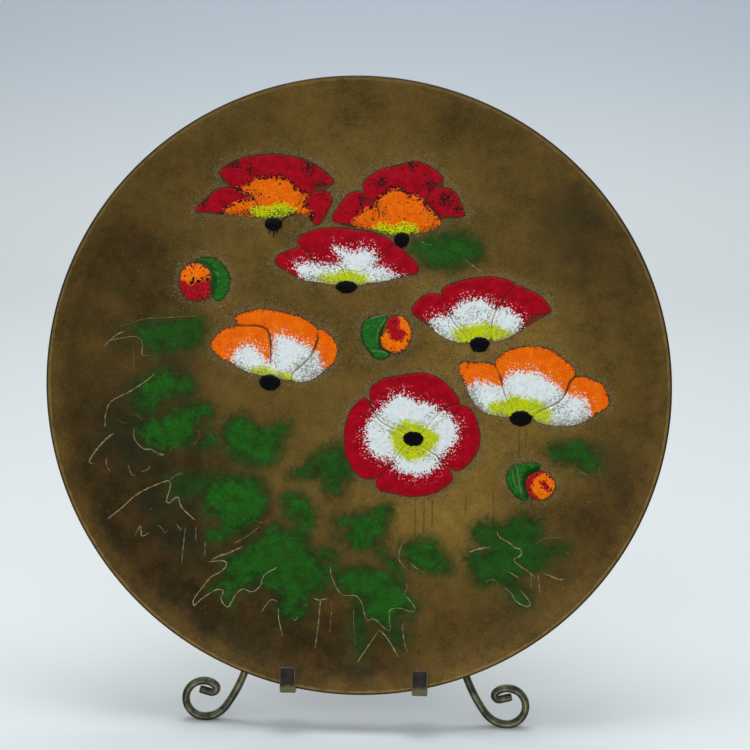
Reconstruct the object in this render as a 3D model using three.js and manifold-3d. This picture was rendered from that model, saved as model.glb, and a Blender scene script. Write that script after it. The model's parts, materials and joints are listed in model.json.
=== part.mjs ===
// An enamelled copper plate with a poppy design, standing on a folding wrought-metal easel.
// Millimetres, +Z up, the plate faces -Y. The origin ends up on the floor, under the middle
// of the whole object.
//
// Plate frame: X to the right, Y up the slope of the plate, Z out of its front face, with
// the origin at the centre of the rim. The easel's front frame shares it, so both lean
// back together by LEAN.

import * as THREE from "three";
import { mergeVertices } from "three/addons/utils/BufferGeometryUtils.js";
import Module from "manifold-3d";

const wasm = await Module();
wasm.setup();

// ---------- driving dimensions ----------

const LEAN = 12;                 // degrees the plate leans back from upright
const FIT_GAP = 0.3;             // clearance kept between touching pieces

const PLATE_RADIUS = 178;        // 14 inch charger
const WELL_RADIUS = 146;         // flat middle
const DISH_DEPTH = 10;           // from the rim down to the flat middle
const RIM_BEND_RADIUS = 163;     // where the flat and the rim slope would meet
const LIP_RADIUS = 176.6;        // where the slope ends and the rounded lip begins
const LIP_DROP = 0.35;           // how far the slope ends below the rim
const PLATE_SEGMENTS = 64;
const COPPER_THICKNESS = 1.0;
const ENAMEL_THICKNESS = 0.4;
const LAYER_GAP = 0.2;

const BAR = 4.6;                 // 3/16 inch square bar
const LEG_SPLAY = 20.9;          // degrees each front leg leans from the centre line
const LEG_TOP_X = 2.5;
const LEG_TOP_Y = -5.1;
const LEG_LENGTH = 177.9;        // straight part, above the scroll
const CROSSBAR_Y = -150;

const HOOK_X = 38.3;
const HOOK_WIDTH = 9;
const HOOK_THICKNESS = 1.8;
const HOOK_BEND = 3.4;           // bend radius of the strip's middle line
const HOOK_FLOOR_Y = -175.96;    // middle line of the stretch under the plate
const HOOK_TIP_Y = -160.4;
const HOOK_TOP_Y = -145.5;
const HOOK_FRONT_Z = 3.9;        // middle line of the turned-up tip

const RIVET_RADIUS = 1.5;
const RIVET_HEAD_RADIUS = 2.9;
const RIVET_HEAD_HEIGHT = 1.4;
const BRACKET_RIVET_Y = -24;

const BRACKET_THICKNESS = 2;
const BRACKET_HALF_WIDTH = 14;
const BRACKET_BOTTOM_Y = -29;
const BRACKET_TOP_Y = 2;
const LUG_THICKNESS = 2;
const LUG_RADIUS = 6;

const PIN_Y = -8;
const PIN_RADIUS = 2;
const PIN_HEAD_RADIUS = 3.6;
const PIN_HEAD_HEIGHT = 1.6;
const EYE_RADIUS = 5.2;
const OPEN_ANGLE = 33;           // degrees between the frame and the back leg when open
const BACK_FOOT_BEND = 10;
const BACK_FOOT_LENGTH = 8;

// ---------- worked out from them ----------

const radians = THREE.MathUtils.degToRad;
const PLATE_BACK = -(DISH_DEPTH + 2 * ENAMEL_THICKNESS + 2 * LAYER_GAP + COPPER_THICKNESS);
const FRAME_FRONT = PLATE_BACK - FIT_GAP;
const FRAME_BACK = FRAME_FRONT - BAR;
const BRACKET_FRONT = FRAME_BACK - FIT_GAP;
const BRACKET_BACK = BRACKET_FRONT - BRACKET_THICKNESS;
const PIN_Z = BRACKET_BACK - 7.6;
const LUG_INNER = BAR / 2 + FIT_GAP;
const LUG_OUTER = LUG_INNER + LUG_THICKNESS;
const SLOPE = Math.tan(radians(LEG_SPLAY));

function legCentreX(y) {
  return LEG_TOP_X + (LEG_TOP_Y - y) * SLOPE;
}

// ---------- materials ----------

function material(color, roughness, metalness = 0) {
  return new THREE.MeshStandardMaterial({ color, roughness, metalness });
}

const copper = material(0xa8643a, 0.4, 1);
const groundEnamel = material(0x6a5628, 0.6);
const counterEnamel = material(0x3a2f1e, 0.5);
const redEnamel = material(0xaf0519, 0.3);
const orangeEnamel = material(0xee6a00, 0.3);
const blackEnamel = material(0x08080f, 0.25);
const greenEnamel = material(0x235f1e, 0.35);
const agedBrass = material(0x46463c, 0.45, 0.9);
const hookBrass = material(0x5f5a3c, 0.4, 0.9);

// ---------- shape helpers ----------

// A path made like a bent rod: straight runs and arcs, one after the other.
// Each move is ["go", length] or ["turn", radius, degrees], positive to the left.
const DEGREES_PER_STEP = 12;

function bentPath(x, y, headingDegrees, moves) {
  let heading = radians(headingDegrees);
  const path = [{ x, y, heading }];
  for (const [kind, size, degrees] of moves) {
    if (kind === "go") {
      x += size * Math.cos(heading);
      y += size * Math.sin(heading);
      path.push({ x, y, heading });
      continue;
    }
    const steps = Math.ceil(Math.abs(degrees) / DEGREES_PER_STEP);
    const step = radians(degrees) / steps;
    const chord = 2 * size * Math.sin(Math.abs(step) / 2);
    for (let i = 0; i < steps; i += 1) {
      x += chord * Math.cos(heading + step / 2);
      y += chord * Math.sin(heading + step / 2);
      heading += step;
      path.push({ x, y, heading });
    }
  }
  return path;
}

// The outline of a strip of the given thickness whose middle line is the path. Outlines
// run anticlockwise and holes clockwise, which is what ExtrudeGeometry expects.
function stripShape(path, thickness) {
  const half = thickness / 2;
  const side = (p, sign) =>
    new THREE.Vector2(p.x - sign * half * Math.sin(p.heading), p.y + sign * half * Math.cos(p.heading));
  const left = path.map((p) => side(p, 1));
  const right = path.map((p) => side(p, -1));
  return new THREE.Shape([...right, ...left.reverse()]);
}

function circleHole(x, y, radius) {
  return new THREE.Path().absarc(x, y, radius, 0, 2 * Math.PI, true);
}

// Extrude a shape drawn in the plate frame's XY plane, from zLow to zHigh.
function frontExtrude(shape, zLow, zHigh, curveSegments = 8) {
  const settings = { depth: zHigh - zLow, bevelEnabled: false, curveSegments };
  return new THREE.ExtrudeGeometry(shape, settings).translate(0, 0, zLow);
}

// Extrude a shape drawn from the side: its x runs to the back, its y up the slope.
function sideExtrude(shape, width, curveSegments = 8) {
  const settings = { depth: width, bevelEnabled: false, curveSegments };
  const geometry = new THREE.ExtrudeGeometry(shape, settings);
  return geometry.translate(0, 0, -width / 2).rotateY(Math.PI / 2);
}

// A round piece turned about an axis along Z; the profile is [radius, z] pairs.
function turned(profile, segments) {
  const points = profile.map(([radius, z]) => new THREE.Vector2(radius, z));
  return new THREE.LatheGeometry(points, segments).rotateX(Math.PI / 2);
}

function toSolid(geometry) {
  const bare = geometry.clone();
  bare.deleteAttribute("normal");
  bare.deleteAttribute("uv");
  const merged = mergeVertices(bare, 1e-4);
  const vertProperties = new Float32Array(merged.attributes.position.array);
  const triVerts = new Uint32Array(merged.index.array);
  return new wasm.Manifold(new wasm.Mesh({ numProp: 3, vertProperties, triVerts }));
}

function fromSolid(solid) {
  const mesh = solid.getMesh();
  const geometry = new THREE.BufferGeometry();
  geometry.setAttribute("position", new THREE.BufferAttribute(mesh.vertProperties, 3));
  geometry.setIndex(new THREE.BufferAttribute(mesh.triVerts, 1));
  geometry.computeVertexNormals();
  return geometry;
}

function addPiece(group, name, geometry, look) {
  const mesh = new THREE.Mesh(geometry, look.clone());
  mesh.name = name;
  group.add(mesh);
  return mesh;
}

// ---------- the plate ----------

// Points of the dish from its middle to the lip, dropped by the given amount.
const RIM_STEPS = 5;

function dishCurve(drop) {
  const rim = new THREE.QuadraticBezierCurve(
    new THREE.Vector2(WELL_RADIUS, -DISH_DEPTH),
    new THREE.Vector2(RIM_BEND_RADIUS, -DISH_DEPTH),
    new THREE.Vector2(LIP_RADIUS, -LIP_DROP),
  );
  const slope = rim.getPoints(RIM_STEPS).map((p) => [p.x, p.y - drop]);
  return [[0, -DISH_DEPTH - drop], ...slope];
}

// A layer of the plate between two drops, closed by the given edge points.
function dishLayer(topDrop, bottomDrop, edge) {
  const top = dishCurve(topDrop);
  const bottom = dishCurve(bottomDrop);
  return turned([...bottom, ...edge, ...top.reverse()], PLATE_SEGMENTS);
}

function addPlate(plate) {
  const copperTop = ENAMEL_THICKNESS + LAYER_GAP;
  const copperBottom = copperTop + COPPER_THICKNESS;
  const counterTop = copperBottom + LAYER_GAP;
  const counterBottom = counterTop + ENAMEL_THICKNESS;

  const rolledEdge = [
    [PLATE_RADIUS - 0.4, -LIP_DROP - copperBottom + 0.1],
    [PLATE_RADIUS, -LIP_DROP - copperBottom + 0.5],
    [PLATE_RADIUS - 0.4, -LIP_DROP - copperTop - 0.1],
  ];
  const enamelEdge = [
    [LIP_RADIUS + 0.7, -LIP_DROP - ENAMEL_THICKNESS],
    [LIP_RADIUS + 0.8, -LIP_DROP],
  ];
  addPiece(plate, "copper_plate", dishLayer(copperTop, copperBottom, rolledEdge), copper);
  addPiece(plate, "front_enamel", dishLayer(0, ENAMEL_THICKNESS, enamelEdge), groundEnamel);
  addPiece(plate, "back_enamel", dishLayer(counterTop, counterBottom, []), counterEnamel);
}

// ---------- the flowers: thin raised patches of enamel on the flat middle ----------

const PATCH_THICKNESS = 0.4;
const PETAL_BOTTOM = -DISH_DEPTH + FIT_GAP;
const PETAL_TOP = PETAL_BOTTOM + PATCH_THICKNESS;
const EYE_BOTTOM = PETAL_TOP + FIT_GAP;
const EYE_TOP = EYE_BOTTOM + PATCH_THICKNESS;
const EYE_SEGMENTS = 20;

function smoothOutline(corners) {
  const points = corners.map(([x, y]) => new THREE.Vector3(x, y, 0));
  const curve = new THREE.CatmullRomCurve3(points, true, "centripetal");
  const samples = curve.getPoints(2 * corners.length).slice(0, -1);
  return new THREE.Shape(samples.map((p) => new THREE.Vector2(p.x, p.y)));
}

function ellipseOutline([x, y], [radiusX, radiusY]) {
  const points = [];
  for (let i = 0; i < EYE_SEGMENTS; i += 1) {
    const angle = (2 * Math.PI * i) / EYE_SEGMENTS;
    points.push(new THREE.Vector2(x + radiusX * Math.cos(angle), y + radiusY * Math.sin(angle)));
  }
  return new THREE.Shape(points);
}

const poppies = [
  {
    look: redEnamel,
    eye: [-48.5, 94.4],
    eyeSize: [4.9, 4.0],
    outline: [
      [-92.9, 101.6], [-89.8, 105.7], [-85.5, 108], [-83, 112.6], [-76.4, 114.9], [-72.6, 114.8],
      [-77, 119.5], [-79.4, 123.2], [-76.8, 126], [-68, 131], [-59, 133], [-50, 134], [-40, 133.2],
      [-29.3, 130.4], [-20, 125], [-14.2, 118.4], [-22.2, 116.3], [-26, 113], [-19, 113.6],
      [-15.2, 109], [-18.3, 101.5], [-21.5, 96], [-24, 94.6], [-28.3, 99.1], [-35.5, 101],
      [-44, 100.2], [-54, 97.6], [-61.6, 100.6], [-74.5, 99.7], [-85, 100.9],
    ],
  },
  {
    look: redEnamel,
    eye: [24.2, 87],
    eyeSize: [4.3, 4.2],
    outline: [
      [-15.3, 98], [-14, 102], [-9.8, 107], [-7, 111.5], [-0.1, 114], [2.4, 113], [1.8, 117.6],
      [4, 121], [12, 126], [22, 128.4], [31, 131], [38, 128.8], [44.6, 124.7], [47.3, 121.8],
      [43, 117.4], [42.2, 115.4], [48, 116.4], [54, 114], [57.5, 107], [59.5, 100.5], [50, 100],
      [46.4, 98.6], [45.6, 95], [39, 92], [28.5, 90.3], [19.8, 89.8], [10, 92.4], [-2, 94],
      [-10, 95.2],
    ],
  },
  {
    look: redEnamel,
    eye: [-6.8, 59.8],
    eyeSize: [6.0, 3.6],
    outline: [
      [-47.5, 73], [-45.5, 76.8], [-38.3, 80], [-33, 81.6], [-34.4, 86.3], [-27, 91], [-15, 92.8],
      [0, 91.6], [10, 89.7], [20, 84.6], [28, 78], [33.5, 72], [33, 67.8], [26.7, 67.9],
      [17, 64.6], [4, 61.4], [-14, 61.4], [-26, 64.8], [-32.5, 64], [-40, 68],
    ],
  },
  {
    look: redEnamel,
    eye: [69.3, 28.6],
    eyeSize: [5.6, 3.9],
    outline: [
      [30.5, 46.2], [32, 50], [37, 55], [43, 56.4], [47.4, 55.6], [47.6, 58.6], [55, 62.8],
      [65, 65.4], [78, 66.2], [88.6, 62.6], [90.4, 60], [97, 59], [105, 54], [109.3, 47.3],
      [100, 45.3], [93.6, 39], [87.3, 33.4], [76, 30.2], [62.5, 29.2], [50, 31.6], [43.5, 38],
      [35.8, 41.8],
    ],
  },
  {
    look: orangeEnamel,
    eye: [-50.4, 4.0],
    eyeSize: [6.1, 4.5],
    outline: [
      [-84.4, 25.2], [-80.6, 30.8], [-74, 35], [-68.6, 36.8], [-70.6, 40.8], [-64, 44.4],
      [-54, 45.9], [-42, 44.2], [-31, 40.8], [-23, 35], [-19.6, 34.4], [-14.6, 30], [-12, 24],
      [-13.6, 16.6], [-21, 10.4], [-26.5, 6.4], [-34, 4.8], [-45, 6.8], [-60, 9.6], [-70, 13.9],
      [-79, 18.2],
    ],
  },
  {
    look: orangeEnamel,
    eye: [93.6, -14.2],
    eyeSize: [6.5, 4.5],
    outline: [
      [58, 14], [59.4, 17.6], [65.4, 17], [74.5, 17.3], [78.2, 15.8], [80, 20.6], [88, 25.4],
      [98, 27.2], [109, 25.8], [118, 19.2], [124.1, 13.4], [124.6, 10.2], [130.5, 9.8],
      [139, 6], [142.4, 0.6], [143.4, -5.6], [136, -11], [125, -16.8], [114, -17.6],
      [102, -15], [85, -13], [74, -11.4], [66, -4], [61.6, 5.8],
    ],
  },
  {
    look: redEnamel,
    eye: [32.4, -27.8],
    eyeSize: [6.1, 3.7],
    outline: [
      [6.6, -3.2], [8, 1.8], [14, 6.4], [26, 9.2], [37, 11], [47, 7.4], [55, 0.2], [59.6, -6.2],
      [64.5, -9.4], [68.8, -18], [70.4, -28.6], [67, -37.4], [57, -45.6], [54.3, -45.8],
      [55.2, -51], [46, -58], [33, -60.9], [20, -58.8], [14.6, -57.6], [10.4, -52.4], [3, -50],
      [-4.6, -41], [-7.2, -26], [-4.6, -13.6], [0.6, -6.2], [4, -3.4],
    ],
  },
];

const buds = [
  {
    look: orangeEnamel,
    petals: [
      [-99.9, 68.5], [-94.6, 72], [-88.5, 70.7], [-84.6, 66.6], [-84.6, 59], [-84.8, 53.4],
      [-91, 50.4], [-98, 51.6], [-102.2, 58],
    ],
    sepal: [
      [-93, 73.6], [-86.5, 75.2], [-79, 72.6], [-73.6, 64.6], [-74.6, 56.6], [-78.6, 50.8],
      [-82.6, 51.6], [-82, 58], [-81.4, 65], [-85, 71.2],
    ],
  },
  {
    look: orangeEnamel,
    petals: [
      [16.9, 41.4], [20.6, 43.4], [25.4, 42.9], [29.4, 38], [30.4, 31.6], [27.2, 25],
      [21.6, 22.2], [14.7, 25.1], [13, 31], [16.6, 35.6],
    ],
    sepal: [
      [15.6, 43.6], [8.4, 42.6], [3.1, 39.5], [2.2, 30], [5.2, 24.4], [9.5, 19.4], [14.6, 18.6],
      [18.4, 21.4], [13.4, 24.2], [11.6, 29], [12.4, 34.4], [15.6, 38.4],
    ],
  },
  {
    look: orangeEnamel,
    petals: [
      [97.2, -52], [99.6, -47.4], [105.4, -44.9], [111.4, -47.4], [114.3, -53.4], [111.8, -58.8],
      [105.8, -61.7], [99.8, -59.2],
    ],
    sepal: [
      [106, -41.4], [98.6, -40.2], [89.2, -42.6], [86.1, -48.6], [89.1, -56.4], [94.2, -61.4],
      [98, -62], [96.4, -56], [95.6, -50], [98.4, -44.8],
    ],
  },
];

function addFlowers(plate) {
  poppies.forEach((poppy, i) => {
    const petals = frontExtrude(smoothOutline(poppy.outline), PETAL_BOTTOM, PETAL_TOP);
    const eye = frontExtrude(ellipseOutline(poppy.eye, poppy.eyeSize), EYE_BOTTOM, EYE_TOP);
    addPiece(plate, `poppy_${i + 1}_petals`, petals, poppy.look);
    addPiece(plate, `poppy_${i + 1}_eye`, eye, blackEnamel);
  });
  buds.forEach((bud, i) => {
    const sepal = frontExtrude(smoothOutline(bud.sepal), PETAL_BOTTOM, PETAL_TOP);
    const petals = frontExtrude(smoothOutline(bud.petals), EYE_BOTTOM, EYE_TOP);
    addPiece(plate, `bud_${i + 1}_sepal`, sepal, greenEnamel);
    addPiece(plate, `bud_${i + 1}_petals`, petals, bud.look);
  });
}

// ---------- the easel's front frame ----------

const HOLE_RADIUS = RIVET_RADIUS + FIT_GAP;

// The right leg: a straight run from the apex, then a scroll that curls outwards and in.
const SCROLL = [
  ["turn", 90, 14],
  ["turn", 18.1, 24],
  ["turn", 14.8, 32],
  ["turn", 11.05, 100],
  ["turn", 10.85, 96],
  ["turn", 8.9, 26],
  ["turn", 2.6, 152],
  ["go", 7],
];
const legPath = bentPath(LEG_TOP_X, LEG_TOP_Y, LEG_SPLAY - 90, [["go", LEG_LENGTH], ...SCROLL]);

// The floor is where the front edge of the scroll's lowest point stands, so the whole
// width of each foot is filed flat there.
const scrollLowest = Math.min(...legPath.map((p) => p.y)) - BAR / 2;
const leanSin = Math.sin(radians(LEAN));
const leanCos = Math.cos(radians(LEAN));
const FLOOR_HEIGHT = scrollLowest * leanCos + FRAME_FRONT * leanSin;

function belowFloor() {
  const block = new THREE.BoxGeometry(400, 200, 20).translate(0, 0, FLOOR_HEIGHT - 10);
  return toSolid(block.rotateX(-radians(90 - LEAN)));
}

function rightLeg() {
  const shape = stripShape(legPath, BAR);
  shape.holes.push(circleHole(legCentreX(BRACKET_RIVET_Y), BRACKET_RIVET_Y, HOLE_RADIUS));
  const bar = toSolid(frontExtrude(shape, FRAME_BACK, FRAME_FRONT, 4));
  return bar.subtract(belowFloor());
}

function crossbar() {
  const endX = (y) => legCentreX(y) - BAR / 2 / Math.cos(radians(LEG_SPLAY)) - FIT_GAP;
  const low = CROSSBAR_Y - BAR / 2;
  const high = CROSSBAR_Y + BAR / 2;
  const corners = [[-endX(low), low], [endX(low), low], [endX(high), high], [-endX(high), high]];
  const shape = new THREE.Shape(corners.map(([x, y]) => new THREE.Vector2(x, y)));
  shape.holes.push(circleHole(HOOK_X, CROSSBAR_Y, HOLE_RADIUS));
  shape.holes.push(circleHole(-HOOK_X, CROSSBAR_Y, HOLE_RADIUS));
  return frontExtrude(shape, FRAME_BACK, FRAME_FRONT, 4);
}

// A flat strip that comes down behind the crossbar, runs forward under the rim and turns up.
function hook() {
  const stripBack = -BRACKET_FRONT + HOOK_THICKNESS / 2;
  const path = bentPath(stripBack, HOOK_TOP_Y, -90, [
    ["go", HOOK_TOP_Y - HOOK_FLOOR_Y - HOOK_BEND],
    ["turn", HOOK_BEND, -90],
    ["go", stripBack + HOOK_FRONT_Z - 2 * HOOK_BEND],
    ["turn", HOOK_BEND, -90],
    ["go", HOOK_TIP_Y - HOOK_FLOOR_Y - HOOK_BEND],
  ]);
  const strip = toSolid(sideExtrude(stripShape(path, HOOK_THICKNESS), HOOK_WIDTH));
  const drill = new THREE.CylinderGeometry(HOLE_RADIUS, HOLE_RADIUS, 10, 16).rotateX(Math.PI / 2);
  drill.translate(0, CROSSBAR_Y, -stripBack);
  return fromSolid(strip.subtract(toSolid(drill)));
}

// A rivet along Z: its shank starts just inside the front face, its dome is at the back.
function rivet(backFace) {
  const front = FRAME_FRONT - FIT_GAP;
  const underHead = backFace - FIT_GAP;
  const top = underHead - RIVET_HEAD_HEIGHT;
  const profile = [
    [0, top],
    [RIVET_HEAD_RADIUS * 0.55, top + RIVET_HEAD_HEIGHT * 0.16],
    [RIVET_HEAD_RADIUS * 0.87, top + RIVET_HEAD_HEIGHT * 0.52],
    [RIVET_HEAD_RADIUS, underHead],
    [RIVET_RADIUS, underHead],
    [RIVET_RADIUS, front],
    [0, front],
  ];
  return turned(profile, 16);
}

function hingeBracket() {
  const half = BRACKET_HALF_WIDTH;
  const narrow = 7;
  const corners = [
    [-half, BRACKET_BOTTOM_Y], [half, BRACKET_BOTTOM_Y], [half, BRACKET_BOTTOM_Y + 9],
    [narrow, BRACKET_TOP_Y], [-narrow, BRACKET_TOP_Y], [-half, BRACKET_BOTTOM_Y + 9],
  ];
  const shape = new THREE.Shape(corners.map(([x, y]) => new THREE.Vector2(x, y)));
  const rivetX = legCentreX(BRACKET_RIVET_Y);
  shape.holes.push(circleHole(rivetX, BRACKET_RIVET_Y, HOLE_RADIUS));
  shape.holes.push(circleHole(-rivetX, BRACKET_RIVET_Y, HOLE_RADIUS));
  let bracket = toSolid(frontExtrude(shape, BRACKET_BACK, BRACKET_FRONT, 4));

  const lugShape = new THREE.Shape();
  const lugRoot = -BRACKET_BACK - BRACKET_THICKNESS / 2;
  lugShape.moveTo(lugRoot, PIN_Y - LUG_RADIUS);
  lugShape.absarc(-PIN_Z, PIN_Y, LUG_RADIUS, -Math.PI / 2, Math.PI / 2, false);
  lugShape.lineTo(lugRoot, PIN_Y + LUG_RADIUS);
  lugShape.holes.push(circleHole(-PIN_Z, PIN_Y, PIN_RADIUS + FIT_GAP));
  for (const side of [-1, 1]) {
    const lug = sideExtrude(lugShape, LUG_THICKNESS);
    lug.translate((side * (LUG_INNER + LUG_OUTER)) / 2, 0, 0);
    bracket = bracket.add(toSolid(lug));
  }
  return fromSolid(bracket);
}

function hingePin() {
  const underHead = LUG_OUTER + FIT_GAP;
  const end = underHead + PIN_HEAD_HEIGHT;
  const halfProfile = [
    [PIN_RADIUS, underHead],
    [PIN_HEAD_RADIUS, underHead],
    [PIN_HEAD_RADIUS * 0.85, underHead + PIN_HEAD_HEIGHT * 0.6],
    [PIN_HEAD_RADIUS * 0.45, underHead + PIN_HEAD_HEIGHT * 0.92],
    [0, end],
  ];
  const mirrored = halfProfile.map(([radius, z]) => [radius, -z]).reverse();
  return turned([...mirrored, ...halfProfile], 20).rotateY(Math.PI / 2);
}

function addFrontFrame(frame) {
  const leg = rightLeg();
  addPiece(frame, "right_leg", fromSolid(leg), agedBrass);
  addPiece(frame, "left_leg", fromSolid(leg.mirror([1, 0, 0])), agedBrass);
  addPiece(frame, "crossbar", crossbar(), agedBrass);
  for (const [name, side] of [["left", -1], ["right", 1]]) {
    const hookMesh = addPiece(frame, `${name}_hook`, hook(), hookBrass);
    hookMesh.position.x = side * HOOK_X;
    const hookRivet = addPiece(frame, `${name}_hook_rivet`, rivet(BRACKET_FRONT - HOOK_THICKNESS), agedBrass);
    hookRivet.position.set(side * HOOK_X, CROSSBAR_Y, 0);
    const bracketRivet = addPiece(frame, `${name}_bracket_rivet`, rivet(BRACKET_BACK), agedBrass);
    bracketRivet.position.set(side * legCentreX(BRACKET_RIVET_Y), BRACKET_RIVET_Y, 0);
  }
  addPiece(frame, "hinge_bracket", hingeBracket(), agedBrass);
  const pin = addPiece(frame, "hinge_pin", hingePin(), agedBrass);
  pin.position.set(0, PIN_Y, PIN_Z);
}

// ---------- the back leg ----------

// Drawn from the side with the pin at the origin: a heel that meets the bracket when the
// leg is open, an eye round the pin, the bar, and a foot that turns flat onto the floor.
function backLeg() {
  const open = radians(OPEN_ANGLE);
  const heelReach = -(PIN_Z - BRACKET_BACK) - FIT_GAP;
  const heel = (heelReach - (BAR / 2) * Math.cos(open)) / Math.sin(open);

  const fromUpright = OPEN_ANGLE - LEAN;
  const footTurn = 90 - fromUpright;
  const pinHeight = PIN_Y * leanCos + PIN_Z * leanSin - FLOOR_HEIGHT;
  const bendDrop = BACK_FOOT_BEND * (1 - Math.cos(radians(footTurn)));
  const barLength = (pinHeight - BAR / 2 - bendDrop) / Math.cos(radians(fromUpright));

  const path = bentPath(0, heel, -90, [
    ["go", heel + barLength],
    ["turn", BACK_FOOT_BEND, footTurn],
    ["go", BACK_FOOT_LENGTH],
  ]);
  const bar = toSolid(sideExtrude(stripShape(path, BAR), BAR));
  const eye = new THREE.CylinderGeometry(EYE_RADIUS, EYE_RADIUS, BAR, 28).rotateZ(Math.PI / 2);
  const boreRadius = PIN_RADIUS + FIT_GAP;
  const bore = new THREE.CylinderGeometry(boreRadius, boreRadius, 2 * BAR, 20).rotateZ(Math.PI / 2);
  return fromSolid(bar.add(toSolid(eye)).subtract(toSolid(bore)));
}

function addBackLeg(frame) {
  const leg = addPiece(frame, "back_leg", backLeg(), agedBrass);
  leg.position.set(0, PIN_Y, PIN_Z);
  leg.rotation.x = radians(OPEN_ANGLE);
}

// ---------- assembly ----------

const leaning = new THREE.Group();
leaning.rotation.x = radians(90 - LEAN);
addPlate(leaning);
addFlowers(leaning);
addFrontFrame(leaning);
addBackLeg(leaning);

const easelPlate = new THREE.Group();
easelPlate.add(leaning);
easelPlate.updateMatrixWorld(true);
const bounds = new THREE.Box3().setFromObject(easelPlate, true);
leaning.position.set(0, -(bounds.min.y + bounds.max.y) / 2, -bounds.min.z);

export default easelPlate;
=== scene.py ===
"""An enamelled copper plate with a poppy design, on a folding antique-brass easel.

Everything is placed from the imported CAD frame. The plate and the easel's front share one
plate frame, in millimetres: u to the right, v up the slope, n out of the plate's face, with
the origin at the centre of the rim.
"""

import json
import math
import random
from functools import cache, reduce
from itertools import accumulate

import bpy
import numpy as np
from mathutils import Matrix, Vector, geometry

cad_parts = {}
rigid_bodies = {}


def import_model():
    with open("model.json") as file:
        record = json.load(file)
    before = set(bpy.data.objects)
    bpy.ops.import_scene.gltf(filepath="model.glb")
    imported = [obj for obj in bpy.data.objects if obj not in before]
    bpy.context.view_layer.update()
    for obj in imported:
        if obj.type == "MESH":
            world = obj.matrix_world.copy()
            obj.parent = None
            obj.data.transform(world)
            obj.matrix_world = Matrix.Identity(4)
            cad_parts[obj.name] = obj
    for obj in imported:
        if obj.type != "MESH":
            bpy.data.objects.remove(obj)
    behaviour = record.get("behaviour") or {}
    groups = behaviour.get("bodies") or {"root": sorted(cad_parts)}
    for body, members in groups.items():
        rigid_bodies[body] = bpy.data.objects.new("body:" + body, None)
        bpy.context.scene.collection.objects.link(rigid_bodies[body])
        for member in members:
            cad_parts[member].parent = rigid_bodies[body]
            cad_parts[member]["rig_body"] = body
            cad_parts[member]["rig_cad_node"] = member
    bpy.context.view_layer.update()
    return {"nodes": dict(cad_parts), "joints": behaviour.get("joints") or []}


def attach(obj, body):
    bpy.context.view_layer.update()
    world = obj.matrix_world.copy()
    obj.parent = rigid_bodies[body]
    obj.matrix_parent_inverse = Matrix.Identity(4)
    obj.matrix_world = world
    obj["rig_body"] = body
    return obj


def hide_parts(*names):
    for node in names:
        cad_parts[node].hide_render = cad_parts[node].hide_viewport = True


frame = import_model()

# ---------- the plate frame ----------

MM = 0.001
LEAN = math.radians(12)
# The hinge pin's centre in the plate frame. The frame's origin is worked out from it.
PIN_V = -8.0
PIN_N = -27.0

joints = {joint["name"]: joint for joint in frame["joints"]}
ACROSS = np.array((1.0, 0.0, 0.0))
UP = np.array(joints["plate_lift"]["axis"], float)
NORMAL = np.cross(ACROSS, UP)
PIN = np.array(joints["back_leg_fold"]["pos_m"], float)
RIM_CENTRE = PIN - (PIN_V * UP + PIN_N * NORMAL) * MM


def to_world(points):
    """Plate-frame millimetres to row-frame metres."""
    return RIM_CENTRE + MM * (np.asarray(points, float) @ np.array([ACROSS, UP, NORMAL]))


# ---------- the plate's profile ----------

PLATE_RADIUS = 178.0
# The flat well ends here, and the sides rise in a curve to the lip.
WELL_RADIUS = 146.0
DISH_DEPTH = 10.0
LIP_RADIUS = 176.6
LIP_DROP = 0.35
# Depths of the layers' faces under the enamel's own face.
COPPER_TOP = 0.6
COPPER_BOTTOM = 1.6
BACK_TOP = 1.8
BACK_BOTTOM = 2.2
# Radius at which the side's curve has its middle control point.
RIM_PULL = 163.0


def dish_height(radius):
    """Height of the enamel's face over the rim plane, at a distance from the middle."""
    r = np.clip(np.asarray(radius, float), WELL_RADIUS, LIP_RADIUS)
    a = WELL_RADIUS - 2 * RIM_PULL + LIP_RADIUS
    b = 2 * (RIM_PULL - WELL_RADIUS)
    c = WELL_RADIUS - r
    t = (-b + np.sqrt(b * b - 4 * a * c)) / (2 * a)
    return -DISH_DEPTH + (DISH_DEPTH - LIP_DROP) * t * t


# ---------- outline helpers ----------


def smooth(corners, spacing, closed=True):
    """A smooth curve through the corners, as points about spacing apart."""
    ends = [np.asarray(corner, float) for corner in corners]
    if closed:
        run = [ends[-1], *ends, *ends[:2]]
    else:
        run = [2 * ends[0] - ends[1], *ends, 2 * ends[-1] - ends[-2]]
    out = []
    for p in zip(run, run[1:], run[2:], run[3:]):
        gaps = [np.linalg.norm(b - a) for a, b in zip(p, p[1:])]
        knots = np.cumsum([0.0] + [max(gap, 1e-6) ** 0.5 for gap in gaps])
        steps = max(1, round(gaps[1] / spacing))
        for step in range(steps):
            out.append(centripetal(p, knots, knots[1] + (knots[2] - knots[1]) * step / steps))
    if not closed:
        out.append(ends[-1])
    return np.array(out)


def centripetal(p, knots, t):
    """One point of a centripetal Catmull-Rom curve."""
    for spans in (((0, 1), (1, 2), (2, 3)), ((0, 2), (1, 3)), ((1, 2),)):
        p = [
            a + (b - a) * (t - knots[low]) / (knots[high] - knots[low])
            for a, b, (low, high) in zip(p, p[1:], spans)
        ]
    return p[0]


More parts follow.
